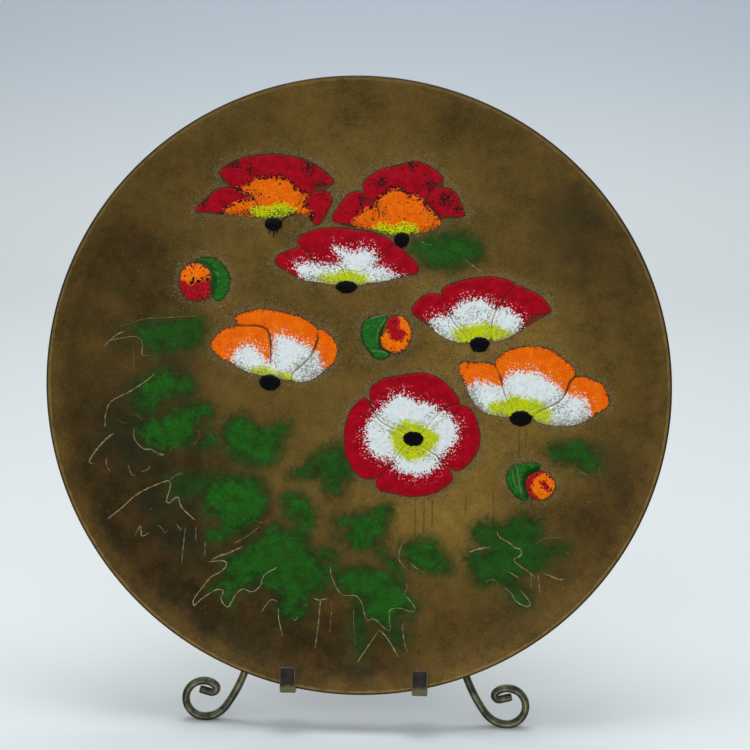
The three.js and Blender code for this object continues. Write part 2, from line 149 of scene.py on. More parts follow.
def signed_distance(points, outline, reach=12.0):
    """Distance from each point to a closed outline: positive inside, never under -reach."""
    result = np.full(len(points), -reach)
    low = outline.min(0) - reach
    high = outline.max(0) + reach
    near = np.all((points >= low) & (points <= high), axis=1)
    x, y = points[near].T
    best = np.full(len(x), np.inf)
    inside = np.zeros(len(x), bool)
    for (px, py), (qx, qy) in zip(outline, np.roll(outline, -1, axis=0)):
        ex, ey = qx - px, qy - py
        t = np.clip(((x - px) * ex + (y - py) * ey) / max(ex * ex + ey * ey, 1e-12), 0, 1)
        best = np.minimum(best, (x - px - t * ex) ** 2 + (y - py - t * ey) ** 2)
        crosses = (py > y) != (qy > y)
        if ey:
            inside ^= crosses & (x < px + (y - py) * ex / ey)
    best = np.sqrt(best)
    result[near] = np.maximum(np.where(inside, best, -best), -reach)
    return result


def wobble(points, size, seed):
    """Smooth repeatable noise of about -1 to 1 at plane points, with the given feature size."""
    rng = np.random.default_rng(seed)
    total = np.zeros(len(points))
    for _ in range(8):
        angle = rng.uniform(0, 2 * math.pi)
        frequency = 2 * math.pi / size * rng.uniform(0.6, 1.5)
        direction = np.array((math.cos(angle), math.sin(angle))) * frequency
        total += np.sin(points[:, :2] @ direction + rng.uniform(0, 2 * math.pi))
    # Eight waves together swing about as far as the square root of eight.
    return total / 2.83


# ---------- mesh helpers ----------

TURNED_SIDES = 32
# The share of a patch's full height that stands at its outline.
EDGE_SHARE = 0.35


def link(thing):
    """Puts a new object into the scene."""
    bpy.context.scene.collection.objects.link(thing)
    return thing


def smooth_shaded(mesh):
    mesh.polygons.foreach_set("use_smooth", [True] * len(mesh.polygons))


def flipped(faces):
    """The faces turned to look the other way."""
    return [tuple(reversed(face)) for face in faces]


def add_object(name, points, faces, material, body, replaced=(), attributes=None):
    """A mesh from plate-frame points, riding on a body and taking a slot's finish."""
    mesh = bpy.data.meshes.new(name)
    points = np.asarray(points, float)
    mesh.from_pydata(to_world(points).tolist(), [], [list(map(int, f)) for f in faces])
    mesh.materials.append(material)
    spot = mesh.attributes.new("spot", "FLOAT_VECTOR", "POINT")
    spot.data.foreach_set("vector", points.astype(np.float32).ravel())
    for key, values in (attributes or {}).items():
        values = np.asarray(values, np.float32)
        if values.ndim == 2:
            layer = mesh.attributes.new(key, "FLOAT_COLOR", "POINT")
            rgba = np.column_stack([values, np.ones(len(values), np.float32)])
            layer.data.foreach_set("color", rgba.ravel())
        else:
            layer = mesh.attributes.new(key, "FLOAT", "POINT")
            layer.data.foreach_set("value", values)
    mesh.validate()
    smooth_shaded(mesh)
    thing = link(bpy.data.objects.new(name, mesh))
    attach(thing, body)
    if replaced:
        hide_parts(*replaced)
    return thing


def ring_shell(rings):
    """A closed shell through rings of (radius, height, count), from the axis out and back."""
    # Every other ring is turned by half a step, so that the triangles stay even.
    points, faces, starts = [], [], []
    for index, (radius, height, count) in enumerate(rings):
        starts.append(len(points))
        if radius <= 0:
            points.append((0.0, 0.0, height))
            continue
        turn = 0.5 * (index % 2)
        for i in range(count):
            angle = 2 * math.pi * (i + turn) / count
            points.append((radius * math.cos(angle), radius * math.sin(angle), height))
    for index in range(len(rings) - 1):
        a, b = starts[index], starts[index + 1]
        na, nb = rings[index][2], rings[index + 1][2]
        if rings[index][0] <= 0:
            faces += [(a, b + i, b + (i + 1) % nb) for i in range(nb)]
            continue
        if rings[index + 1][0] <= 0:
            faces += [(a + i, b, a + (i + 1) % na) for i in range(na)]
            continue
        ta, tb = 0.5 * (index % 2) / na, 0.5 * ((index + 1) % 2) / nb
        i = j = 0
        while i < na or j < nb:
            next_a = (i + 1) / na + ta
            next_b = (j + 1) / nb + tb
            if j >= nb or (i < na and next_a < next_b):
                faces.append((a + i % na, b + j % nb, a + (i + 1) % na))
                i += 1
            else:
                faces.append((a + i % na, b + j % nb, b + (j + 1) % nb))
                j += 1
    return np.array(points), faces


def grid_inside(outline, spacing):
    """Points of an even triangular grid that lie inside the outline, clear of it."""
    low, high = outline.min(0), outline.max(0)
    row = spacing * math.sqrt(3) / 2
    grid = []
    for j in range(int((high[1] - low[1]) / row) + 1):
        shift = 0.5 * spacing * (j % 2)
        for i in range(int((high[0] - low[0]) / spacing) + 1):
            grid.append((low[0] + i * spacing + shift, low[1] + j * row))
    grid = np.array(grid)
    return grid[signed_distance(grid, outline) > 0.45 * spacing]


def triangulated(flat, border):
    """Constrained triangles, all facing up: points, faces and each point's originals."""
    found = geometry.delaunay_2d_cdt([Vector(p) for p in flat], border, [], 1, 1e-7, True)
    spots = np.array([tuple(p) for p in found[0]])
    faces = []
    for a, b, c in found[2]:
        (ax, ay), (bx, by), (cx, cy) = spots[a], spots[b], spots[c]
        turns_left = (bx - ax) * (cy - ay) - (by - ay) * (cx - ax) >= 0
        faces.append((a, b, c) if turns_left else (a, c, b))
    return spots, faces, found[3]


def slab(outline, spacing, top_of, bottom, round_over):
    """A closed patch with a crowned top: returns points, faces and the distance to the outline."""
    count = len(outline)
    border = [(i, (i + 1) % count) for i in range(count)]
    inner = grid_inside(outline, spacing)
    flat, faces, originals = triangulated(np.vstack([outline, inner]), border)
    order = {}
    for new, olds in enumerate(originals):
        for old in olds:
            order[old] = new
    edge = [order[i] for i in range(count)]
    depth = np.maximum(signed_distance(flat, outline), 0)
    rise = np.sqrt(np.clip(1 - (1 - np.minimum(depth / round_over, 1)) ** 2, 0, 1))
    height = bottom + (top_of(flat, depth) - bottom) * (EDGE_SHARE + (1 - EDGE_SHARE) * rise)
    top = np.column_stack([flat, height])
    base = np.column_stack([flat[edge], np.full(count, bottom)])
    under = len(top)
    for i, k in border:
        faces.append((edge[i], under + i, under + k, edge[k]))
    _, underside, originals = triangulated(flat[edge], border)
    for face in underside:
        a, b, c = (originals[corner][0] for corner in face)
        faces.append((under + a, under + c, under + b))
    return np.vstack([top, base]), faces, np.concatenate([depth, np.zeros(count)])


def turned(profile, centre, axis):
    """A round piece from (radius, along) pairs about a plate-frame axis: 'n' or 'u'."""
    points, faces = ring_shell([(radius, along, TURNED_SIDES) for radius, along in profile])
    if axis == "u":
        points = points[:, [2, 0, 1]]
    return points + np.array(centre), faces


# ---------- shader helpers ----------

# Specular levels: the flat enamels are a touch duller than the raised black, orange and green.
ENAMEL_GLOSS = 0.07
DOME_GLOSS = 0.08
GRAIN_SIZE = 0.5
COARSE_GRAIN_SIZE = 0.95


def paint(red, green, blue):
    """An sRGB colour of 0 to 255 as linear light."""
    linear = []
    for value in (red, green, blue):
        c = value / 255
        linear.append(c / 12.92 if c <= 0.04045 else ((c + 0.055) / 1.055) ** 2.4)
    return linear


class Shader:
    """A material under construction. Sizes are in the units of the vector in use."""

    def __init__(self, name):
        self.material = bpy.data.materials.new(name)
        self.material.use_nodes = True
        self.tree = self.material.node_tree
        self.surface = self.tree.nodes["Principled BSDF"]

    def feed(self, socket, value):
        if isinstance(value, bpy.types.NodeSocket):
            self.tree.links.new(value, socket)
        elif isinstance(value, (list, tuple)) and socket.type == "RGBA":
            socket.default_value = (*value, 1)
        else:
            socket.default_value = value

    def node(self, kind, inputs, **settings):
        """The outputs of a new node, its inputs given by name or number."""
        made = self.tree.nodes.new("ShaderNode" + kind)
        for key, value in settings.items():
            setattr(made, key, value)
        for key, value in inputs.items():
            self.feed(made.inputs[key], value)
        return made.outputs

    def attribute(self, name, output="Fac"):
        return self.node("Attribute", {}, attribute_name=name)[output]

    def spot(self):
        """Where a point is in the plate frame, in millimetres."""
        return self.attribute("spot", "Vector")

    def object_spot(self):
        """Where a point is in the piece's own frame, in millimetres."""
        return self.shade(self.node("TexCoord", {})["Object"], 1 / MM)

    def split(self, vector):
        return self.node("SeparateXYZ", {0: vector})

    def noise(self, vector, size, detail=2.0, roughness=0.5, distortion=0.0):
        return self.node("TexNoise", {
            "Vector": vector, "Scale": 1 / size, "Detail": detail, "Roughness": roughness,
            "Distortion": distortion,
        })["Fac"]

    def cells(self, vector, size):
        """A random number for each little cell of the given size."""
        colour = self.node("TexVoronoi", {"Vector": vector, "Scale": 1 / size})["Color"]
        return self.node("SeparateColor", {0: colour})[0]

    def math(self, operation, a, b=0.0):
        return self.node("Math", {0: a, 1: b}, operation=operation)[0]

    def add(self, *values):
        return reduce(lambda total, value: self.math("ADD", total, value), values)

    def times(self, *values):
        return reduce(lambda total, value: self.math("MULTIPLY", total, value), values)

    def swing(self, noise, amount):
        """A 0 to 1 noise as -amount to +amount."""
        return self.math("MULTIPLY", self.math("SUBTRACT", noise, 0.5), 2 * amount)

    def ramp(self, value, low, high, out_low=0.0, out_high=1.0):
        return self.node("MapRange", {
            "Value": value, "From Min": low, "From Max": high, "To Min": out_low, "To Max": out_high,
        }, interpolation_type="SMOOTHSTEP", clamp=True)["Result"]

    def mix(self, factor, a, b):
        return self.node("Mix", {"Factor": factor, 6: a, 7: b}, data_type="RGBA")[2]

    def shade(self, colour, factor):
        """The colour, or the vector, times a number that may vary over the surface."""
        return self.node("VectorMath", {0: colour, "Scale": factor}, operation="SCALE")[0]

    def bump(self, height, depth):
        bumped = self.node("Bump", {"Distance": depth * MM, "Strength": 1.0, "Height": height})
        self.feed(self.surface.inputs["Normal"], bumped[0])

    def finish(self, colour, roughness, **plain):
        self.feed(self.surface.inputs["Base Color"], colour)
        self.feed(self.surface.inputs["Roughness"], roughness)
        for key, value in plain.items():
            self.surface.inputs[key.replace("_", " ")].default_value = value
        return self.material


class Enamel(Shader):
    """A shader with the random grains and clouds of sifted enamel ready to use."""

    def __init__(self, name, clump_size=2.2):
        super().__init__(name)
        self.place = self.spot()
        self.grain = self.cells(self.place, GRAIN_SIZE)
        self.coarse = self.cells(self.place, COARSE_GRAIN_SIZE)
        self.clump = self.noise(self.place, clump_size, 3, 0.6)
        self.fine = self.noise(self.place, 0.8, 2)


# ---------- the design, in plate millimetres ----------

# Everything here is drawn as corners (u, v) that a smooth curve passes through. A worn
# place is (u, v, reach). A drip under an eye is (place, length, width), and a run is a thin
# trail of black. "growth" widens the petals, and "seam" is how pale their outline is.

RED, ORANGE, WHITE = "red", "orange", "white"

poppies = [{
    "base": RED, "middle_colour": ORANGE, "growth": 0.14, "seam": 0.1,
    "eye": (-48.5, 94.6), "eye_size": (4.9, 3.8),
    "drips": [], "runs": [
        [(-50.6, 92.4), (-50.8, 89.2)],
        [(-48.4, 91.6), (-48.3, 87.2)],
        [(-46.4, 92.4), (-46.4, 88.8)],
        [(-44.9, 92.5), (-44.3, 95.2), (-43.3, 97.2), (-41.5, 98.8), (-38.6, 100.1), (-35.5, 100.9)],
    ],
    "worn": [(-71, 129, 9), (-62, 125, 5), (-79, 119, 6), (-29, 127, 8), (-22, 117, 6), (-88, 106, 5)],
    "petals": [
        [(-92.9, 101.6), (-89.8, 105.7), (-85.5, 108), (-83, 112.6), (-76.4, 114.9), (-72.6, 114.6),
         (-60.5, 109.4), (-58, 105.5), (-56.6, 101), (-57, 98.4), (-61.6, 100.2), (-74.5, 99.7),
         (-85, 100.9)],
        [(-79.4, 123.2), (-76.8, 126), (-68, 131), (-59, 133), (-50, 134), (-40, 133.2), (-29.3, 130.4),
         (-20, 125), (-14.2, 118.4), (-22.2, 116.3), (-26.8, 113.4), (-32.2, 105.4), (-33.6, 101.3),
         (-44, 100.2), (-55, 98), (-57.2, 106), (-60, 110), (-72.2, 115.2), (-77, 119.5)],
        [(-26.3, 112.2), (-19, 113.6), (-15.2, 109), (-18.3, 101.5), (-21.5, 96), (-24, 94.6),
         (-28.3, 99.1), (-32.4, 101), (-31.5, 105)],
    ],
    "middle": [(-70.5, 114.5), (-64.5, 115.7), (-61.5, 119.3), (-56, 120.6), (-40, 119.8), (-36, 115.2),
        (-28.8, 110.5), (-31, 107.4), (-26.5, 99.2), (-70, 98.3), (-78, 101), (-64, 108.6), (-60.5, 108.6),
        (-62, 111)],
    "heart": [(-60.5, 103.6), (-50, 104.2), (-47.5, 106.2), (-36, 103.4), (-38.5, 100.2), (-46, 97.6),
        (-54, 96.6), (-58.5, 97.6), (-61, 101)],
}, {
    "base": RED, "middle_colour": ORANGE, "growth": 0.16, "seam": 0.4,
    "eye": (24.2, 87), "eye_size": (4.3, 4.2),
    "drips": [(-0.4, 0.8, 1.2), (2.6, 0.7, 0.7)],
    "runs": [], "worn": [(49, 110, 9), (55, 104, 6), (39, 118, 7), (12, 119, 7), (2, 108, 6), (30, 129, 6)],
    "petals": [
        [(-15.3, 98), (-14, 102), (-9.8, 107), (-7, 111.5), (-0.1, 114), (2.2, 112.6), (5.5, 108.6),
         (9.4, 105.2), (10.8, 101), (10, 92.6), (-2, 94), (-10, 95.2)],
        [(1.8, 117.6), (4, 121), (12, 126), (22, 128.4), (31, 131), (38, 128.8), (44.6, 124.7),
         (47.3, 121.8), (43, 117.2), (37.6, 110.2), (39.6, 105.6), (42.8, 101.4), (46, 98), (45.6, 95),
         (39, 92), (28.5, 90.3), (19.8, 89.8), (10.8, 92.2), (11.8, 101.4), (10.4, 105.6), (6, 109.6),
         (3, 113)],
        [(42.2, 115.4), (48, 116.4), (54, 114), (57.5, 107), (59.5, 100.5), (50, 100), (47.2, 99.2),
         (43.8, 102.2), (40.6, 106.2), (38.8, 110.4)],
    ],
    "middle": [(-4, 94.4), (-3.4, 97.4), (5.6, 104.6), (9, 104.4), (10, 109), (18, 114.8), (26, 113.6),
        (28, 110.6), (31, 112.6), (44.5, 99.6), (48.8, 98), (42, 91), (24, 87.6), (14, 88.4)],
    "heart": [(9.4, 93.6), (11, 95.4), (18, 94.4), (27, 96.2), (33, 94), (29.5, 89.2), (19.8, 87.8),
        (13, 88.8), (10, 91)],
}, {
    "base": RED, "middle_colour": WHITE, "growth": 0.42, "seam": 0.45,
    "eye": (-6.8, 59.8), "eye_size": (6, 3.6),
    "drips": [(-1.8, 0.5, 0.9), (1.6, 0.4, 1)],
    "runs": [], "worn": [],
    "petals": [
        [(-47.5, 73), (-45.5, 76.8), (-38.3, 80), (-33.6, 81.2), (-30.4, 79), (-27.6, 74.6), (-20, 71.8),
         (-12, 71.4), (-9, 68), (-8, 62.4), (-14, 61.4), (-26, 64.8), (-32.5, 64), (-40, 68)],
        [(-33, 82.2), (-34.4, 86.3), (-27, 91), (-15, 92.8), (0, 91.6), (10, 89.7), (19.4, 84.8),
         (13.4, 79.4), (9.2, 74.4), (8, 70.4), (5.2, 66), (4.4, 62.6), (-7, 62.6), (-7.9, 68.6),
         (-11.4, 72.4), (-20, 72.8), (-26.8, 75.4), (-29.6, 80)],
        [(21, 83.6), (28, 78), (33.5, 72), (33, 67.8), (26.7, 67.9), (17, 64.6), (8, 62.6), (5.6, 62.8),
         (6.2, 66), (9, 70.4), (10, 74.4), (14, 79)],
    ],
    "middle": [(-35, 71.4), (-33, 72.6), (-12, 72.2), (-9, 73.6), (-13.4, 81.4), (-2, 79.4), (1, 81.2),
        (8, 79.6), (10, 76.4), (9, 72), (16, 71), (17, 68.6), (22, 66.6), (14, 61), (4, 58.4), (-14, 58.4),
        (-30.6, 63.6), (-34, 66.6)],
    "heart": [(-23, 64.4), (-20, 66.4), (-13, 66.8), (-10, 68.6), (1, 68), (6, 64.6), (3, 60.4), (-4, 58.6),
        (-13, 58.6)],
}, {
    "base": RED, "middle_colour": WHITE, "growth": 0.3, "seam": 0.3,
    "eye": (69.3, 28.6), "eye_size": (5.6, 3.9),
    "drips": [(-3.4, 1.7, 0.7), (-1.2, 0.8, 0.5), (0.3, 1.3, 0.5), (3.2, 1.5, 1)],
    "runs": [], "worn": [(66, 43, 10)],
    "petals": [
        [(30.5, 46.2), (32, 50), (37, 55), (43, 56.4), (47, 55.4), (49, 52), (53.4, 41), (60, 33.4),
         (61.6, 29.4), (50, 31.6), (43.5, 38), (35.8, 41.8)],
        [(47.6, 58.6), (55, 62.8), (65, 65.4), (78, 66.2), (88.4, 62.4), (85.6, 58.6), (81.6, 54.4),
         (78.6, 49), (76.4, 44), (75.4, 39.4), (75.6, 34), (74, 30.2), (62.8, 29.4), (61, 33.6),
         (54.4, 41.4), (52.2, 46.4)],
        [(89.4, 61.4), (97, 59), (105, 54), (109.3, 47.3), (100, 45.3), (93.6, 39), (87.3, 33.4), (81, 31),
         (77, 30.4), (76.6, 39.6), (77.4, 43.6), (79.6, 48.6), (82.6, 53.4)],
    ],
    "middle": [(45, 43.6), (51, 43.6), (56.5, 50), (71, 53.6), (78, 48.6), (84, 48.6), (92, 42.6),
        (92.6, 39.6), (86, 29.6), (60, 26), (50, 27.4), (43.5, 32), (40.8, 37.4)],
    "heart": [(53.8, 35.6), (56.5, 37.2), (75, 39.8), (87, 34.8), (85, 31.6), (79, 28), (62, 26.6),
        (57, 29)],
}, {
    "base": ORANGE, "middle_colour": WHITE, "growth": 0.16, "seam": 0.1,
    "eye": (-50.4, 4), "eye_size": (6.1, 4.5),
    "drips": [(-1, 0.4, 1), (3, 0.6, 0.8)],
    "runs": [], "worn": [(-27, 11, 10), (-21, 17, 9)],
    "petals": [
        [(-84.4, 25.2), (-80.6, 30.8), (-74, 35), (-66, 36.2), (-58, 36), (-52.6, 34.2), (-50.6, 28),
         (-50.4, 18), (-50.6, 9), (-60, 9.6), (-70, 13.9), (-79, 18.2)],
        [(-68, 37.2), (-70.6, 40.8), (-64, 44.4), (-54, 45.9), (-42, 44.2), (-31, 40.8), (-23.6, 35.4),
         (-23.8, 29), (-26, 23), (-29.6, 17.6), (-37.6, 10), (-38.6, 6), (-45, 6.8), (-49.4, 8.4),
         (-49.4, 18), (-49.6, 28), (-51.4, 34.6), (-57, 36.9)],
        [(-22.6, 34.6), (-19.6, 34.4), (-14.6, 30), (-12, 24), (-13.6, 16.6), (-21, 10.4), (-26.5, 6.4),
         (-34, 4.8), (-37.4, 5.8), (-36.4, 9.6), (-33, 12.4), (-28.2, 17.4), (-24.6, 22.8), (-22.6, 29)],
    ],
    "middle": [(-71, 19), (-62, 25.2), (-50, 16), (-47, 31), (-44, 31.6), (-24, 21.6), (-19.4, 12),
        (-22.6, 5), (-29, 1.4), (-45, 3), (-62, 7), (-70, 11)],
    "heart": [(-61.5, 9.8), (-59, 12.2), (-50.8, 12.4), (-48, 10.4), (-40, 9.8), (-36.6, 7.4), (-37, 3.6),
        (-59, 6.2)],
}, {
    "base": ORANGE, "middle_colour": WHITE, "growth": 0.12, "seam": 0,
    "eye": (93.6, -14.2), "eye_size": (6.5, 4.5),
    "drips": [(0.5, 0.3, 1)],
    "runs": [], "worn": [(66, 0, 8), (70, -10, 8), (118, -13, 10), (129, -12, 9)],
    "petals": [
        [(58, 14), (59.4, 17.6), (65.4, 17), (74.5, 17.3), (78, 15.8), (81.6, 7.6), (82.6, 3), (84.6, -2.4),
         (88, -8), (88.4, -12.8), (85, -13), (74, -11.4), (66, -4), (61.6, 5.8)],
        [(78.8, 16.4), (80, 20.6), (88, 25.4), (98, 27.2), (109, 25.8), (118, 19.2), (124.1, 13.4),
         (123.2, 10.8), (120.6, 7.4), (118.6, 2), (116, -2.4), (112, -5.4), (104, -9.5), (100.4, -12.5),
         (88.8, -12.6), (88.6, -8.2), (85.4, -2.6), (83.4, 3), (82.4, 7.8), (80.2, 12.4)],
        [(124.4, 10), (130.5, 9.8), (139, 6), (142.4, 0.6), (143.4, -5.6), (136, -11), (125, -16.8),
         (114, -17.6), (102, -15), (101, -12.8), (108.8, -8.2), (113, -6.2), (117, -3), (119.6, 1.6),
         (121.6, 6.8)],
    ],
    "middle": [(67, 5.6), (72, 6.2), (81, 3.6), (88, 11.6), (99, 12.6), (109, 8.6), (121.6, -1.6),
        (124, -0.6), (130, -3.8), (132.8, -12), (130.6, -18), (122, -21.2), (112, -21.6), (85, -16),
        (74, -15.6), (66, -11), (60.4, -1)],
    "heart": [(75.4, -5.8), (84, -4.4), (86, -2), (90, -1), (106, -5.4), (111, -11), (110.6, -14.6),
        (107, -19), (86, -16.4), (79, -13.6)],
}, {
    "base": RED, "middle_colour": WHITE, "growth": 0.4, "seam": 0.8,
    "eye": (32.4, -27.2), "eye_size": (6, 4.5),
    "drips": [(-2, 0.3, 1), (2.5, 0.4, 0.8)],
    "runs": [], "worn": [],
    "petals": [
        [(7.2, 0.6), (14, 6.4), (26, 9.2), (37, 11), (47, 7.4), (55, 0.2), (58.4, -6.2), (55, -6.6),
         (49, -9.6), (45, -13.4), (41, -18.4), (38, -22.8), (33.4, -26.6), (30.6, -26.4), (25.6, -22.6),
         (19, -20), (13, -16.4), (9.6, -10)],
        [(59, -7.6), (64.5, -9.4), (68.8, -18), (70.4, -28.6), (67, -37.4), (58.4, -45.4), (53.2, -43.2),
         (46.6, -36.6), (41, -33.2), (34.4, -28.6), (34.4, -27.2), (39, -22.6), (42, -18.4), (46, -13.8),
         (50, -10.2), (55.4, -7.2)],
        [(55.2, -50), (46, -58), (33, -60.9), (20, -58.8), (13.6, -57.8), (11.4, -53), (19, -44.6),
         (25.6, -34.6), (31.2, -29.4), (33.4, -29.4), (40, -33.8), (46, -38), (50, -41.4)],
        [(10.8, -50.8), (3.4, -50.6), (-4.6, -41), (-7.2, -26), (-4.6, -13.6), (0, -7), (4.6, -4.2),
         (6.6, -6.8), (8.6, -11), (12.2, -17.2), (18.4, -21), (25, -23.4), (30.2, -27.4), (30.2, -28.8),
         (24.8, -34), (18, -44.2), (14, -48.4)],
    ],
    "middle": [(5, -22), (13, -11), (21, -3.6), (26, -2), (35, -6), (40, -6.4), (54, -15), (56.6, -19),
        (56.4, -28), (47.6, -38.4), (46.4, -42), (38, -48), (23, -45), (19.4, -39.4), (14, -39.2), (9, -36),
        (6.4, -31.6)],
    "heart": [(19, -26.6), (20.4, -22), (28, -16.8), (38, -19), (46, -24), (47.6, -27), (39, -37.4),
        (34, -40), (29, -39.4), (24, -36.6)],
}]



buds = [{
    "petals": [(-99.9, 68.5), (-94.6, 72), (-88.5, 70.7), (-84.6, 66.6), (-84.6, 59), (-84.8, 53.4),
        (-91, 50.4), (-98, 51.6), (-102.2, 58)],
    "sepal": [(-93, 73.6), (-86.5, 75.2), (-79, 72.6), (-73.6, 64.6), (-74.6, 56.6), (-78.6, 50.8),
        (-82.6, 51.6), (-82, 58), (-81.4, 65), (-85, 71.2)],
    "blush": [(-103.2, 61.6), (-98, 61.4), (-96, 59.8), (-93, 61.6), (-89, 62.6), (-83.6, 62), (-83.6, 52),
        (-91, 48.4), (-99, 49.6), (-104.2, 57)],
    "core": [],
    "worn": [(-94.4, 61.4, 3), (-90, 61.6, 3), (-86, 64, 4), (-94, 71, 3), (-87, 54, 3)],
    "creases": [
        [(-84.1, 68.8), (-81.7, 67), (-79.7, 65.7)],
        [(-83.8, 66.5), (-82.4, 62.5), (-82.2, 58)],
    ],
}, {
    "petals": [(16.9, 41.4), (20.6, 43.4), (25.4, 42.9), (29.4, 38), (30.4, 31.6), (27.2, 25), (21.6, 22.2),
        (14.7, 25.1), (13, 31), (16.6, 35.6)],
    "sepal": [(15.6, 43.6), (8.4, 42.6), (3.1, 39.5), (2.2, 30), (5.2, 24.4), (9.5, 19.4), (14.6, 18.6),
        (18.4, 21.4), (13.4, 24.2), (11.6, 29), (12.4, 34.4), (15.6, 38.4)],
    "blush": [(16.8, 41), (19.6, 44.2), (23, 42.8), (24.4, 39.4), (23.6, 36.6), (26.2, 35.8), (27.6, 33),
        (26, 30.4), (22.4, 29), (18.8, 30.4), (17.6, 33.8), (16.4, 38)],
    "core": [],
    "worn": [(20.5, 25, 3)],
    "creases": [
        [(16.1, 41.7), (13.5, 38.4), (11.4, 33.4), (11, 28.9)],
        [(7.3, 41.8), (10.1, 43), (13.3, 43.6), (15.6, 43.6)],
        [(8, 23.3), (13.5, 23.1), (17, 21.6)],
    ],
}, {
    "petals": [(97.2, -52), (99.6, -47.4), (105.4, -44.9), (111.4, -47.4), (114.3, -53.4), (111.8, -58.8),
        (105.8, -61.7), (99.8, -59.2)],
    "sepal": [(106, -41.4), (98.6, -40.2), (89.2, -42.6), (86.1, -48.6), (89.1, -56.4), (94.2, -61.4),
        (98, -62), (96.4, -56), (95.6, -50), (98.4, -44.8)],
    "blush": [(95.2, -52), (97.6, -45.4), (104, -43), (108.5, -44.6), (104, -47.8), (101, -51.6),
        (101.6, -56.6), (105.6, -61.4), (98, -62)],
    "core": [(105, -50.6), (108, -50.4), (110.6, -53.4), (111, -56.4), (108.6, -56), (106.6, -53.4)],
    "worn": [(111.6, -48.4, 4), (113, -57, 4), (98.6, -58, 4)],
    "creases": [
        [(92.3, -43.6), (93, -48.4), (93.8, -53.1), (95, -58)],
        [(89.6, -45), (90.4, -50), (92.4, -55)],
    ],
}]


# Leaves: how bright the green is from 0 to 1, and the outline.
leaves = [
    (0.55, [(-128, 33), (-108, 39), (-92, 41), (-89, 38), (-91, 26), (-94, 24), (-120, 21), (-121, 25)]),
    (0.75, [(-110, 10), (-117, 8), (-129, -4), (-129, -11), (-123, -17), (-120, -16), (-114, -8), (-94, -1),
        (-96, 3), (-106, 7)]),
    (0.95, [(-126, -22), (-111, -18), (-108, -14), (-99, -11), (-91, -9), (-83, -12), (-84, -16),
        (-92, -19), (-95, -30), (-110, -35), (-124, -31), (-127, -27)]),
    (0.8, [(-88, -28), (-85, -26), (-82, -28), (-82, -32), (-90, -35), (-91, -32)]),
    (0.9, [(-78, -29), (-72, -17), (-67, -16), (-58, -21), (-40, -22), (-42, -28), (-46, -38), (-53, -45),
        (-75, -37)]),
    (0.95, [(-81, -53), (-75, -52), (-56, -55), (-52, -66), (-56, -76), (-63, -80), (-65, -83), (-73, -85),
        (-76, -87), (-85, -89), (-85, -85), (-80, -83), (-79, -77), (-85, -74), (-88, -70), (-89, -65),
        (-88, -60)]),
    (0.35, [(-108, -55), (-90, -52), (-81, -53), (-85, -59), (-93, -63), (-100, -63), (-108, -60)]),
    (0.6, [(-10, -32), (-28, -42), (-39, -51), (-20, -51), (-16, -60), (-11, -60), (-9, -54), (-5, -51),
        (-6, -42)]),
    (0.75, [(-41, -62), (-35, -61), (-30, -63), (-25, -73), (-26, -79), (-30, -83), (-32, -78), (-40, -73),
        (-42, -67)]),
    (0.7, [(-57, -87), (-49, -82), (-40, -83), (-32, -82), (-28, -84), (-30, -91), (-25, -96), (-15, -93),
        (-11, -98), (-20, -101), (-15, -104), (-14, -110), (-29, -128), (-30, -135), (-42, -136),
        (-45, -130), (-44, -123), (-59, -115), (-70, -120), (-73, -127), (-77, -125), (-77, -119),
        (-84, -118), (-75, -107), (-75, -100), (-62, -93)]),
    (0.85, [(15, -67), (20, -69), (20, -75), (19, -80), (10, -90), (4, -93), (-2, -92), (-8, -85),
        (-4, -82), (-12, -78), (0, -72), (10, -71)]),
    (0.8, [(-14, -105), (-8, -106), (8, -103), (22, -108), (28, -113), (29, -118), (35, -128), (30, -129),
        (34, -132), (27, -133), (18, -140), (6, -132), (4, -125), (0, -121), (-6, -120), (-11, -114)]),
    (0.25, [(23, -137), (27, -144), (29, -151), (22, -147), (18, -141)]),
    (0.35, [(0, -123), (5, -128), (6, -136), (4, -157), (0, -140)]),
    (0.85, [(27, -92), (42, -87), (47, -91), (55, -105), (41, -105), (32, -101), (27, -96)]),
    (0.7, [(13, -94), (23, -101), (27, -105), (23, -106), (14, -98)]),
    (0.65, [(110, -32), (114, -30), (133, -29), (138, -37), (139, -41), (138, -44), (114, -37)]),
    (0.6, [(67, -80), (71, -76), (86, -75), (91, -73), (100, -72), (104, -73), (107, -76), (105, -85),
        (108, -88), (123, -90), (112, -95), (110, -100), (101, -103), (96, -101), (97, -103), (96, -107),
        (92, -106), (101, -123), (95, -123), (87, -114), (80, -110), (74, -112), (69, -109), (66, -102),
        (66, -94), (78, -92), (71, -88)]),
    (0.7, [(30, 84), (35, 86), (37, 89), (45, 91), (60, 91), (69, 84), (68, 79), (68, 75), (60, 75),
        (57, 71), (45, 71), (38, 72), (36, 78), (29, 81)]),
]


# Places where the spray left a nearly black green-brown: how strong it is, and the outline.
dark_patches = [
    (0.75, [(-140, -5), (-129, -4), (-126, -31), (-110, -41), (-110, -48), (-120, -48), (-146, -40),
        (-150, -35), (-143, -27), (-145, -19), (-140, -11)]),
    (0.8, [(-122, -62), (-112, -57), (-102, -60), (-99, -72), (-104, -80), (-116, -80), (-124, -72)]),
    (0.5, [(-140, 30), (-130, 34), (-124, 30), (-122, 20), (-132, 20)]),
    (0.5, [(140, -32), (146, -33), (150, -39), (146, -51), (140, -50)]),
    (0.45, [(-108, 18), (-98, 20), (-96, 8), (-104, 4), (-116, 12)]),
    (0.4, [(-80, -42), (-60, -43), (-60, -52), (-80, -51)]),
    (0.5, [(-112, -86), (-90, -84), (-86, -98), (-96, -106), (-110, -100)]),
    (0.45, [(104, 106), (118, 114), (130, 104), (132, 84), (116, 80), (104, 90)]),
]


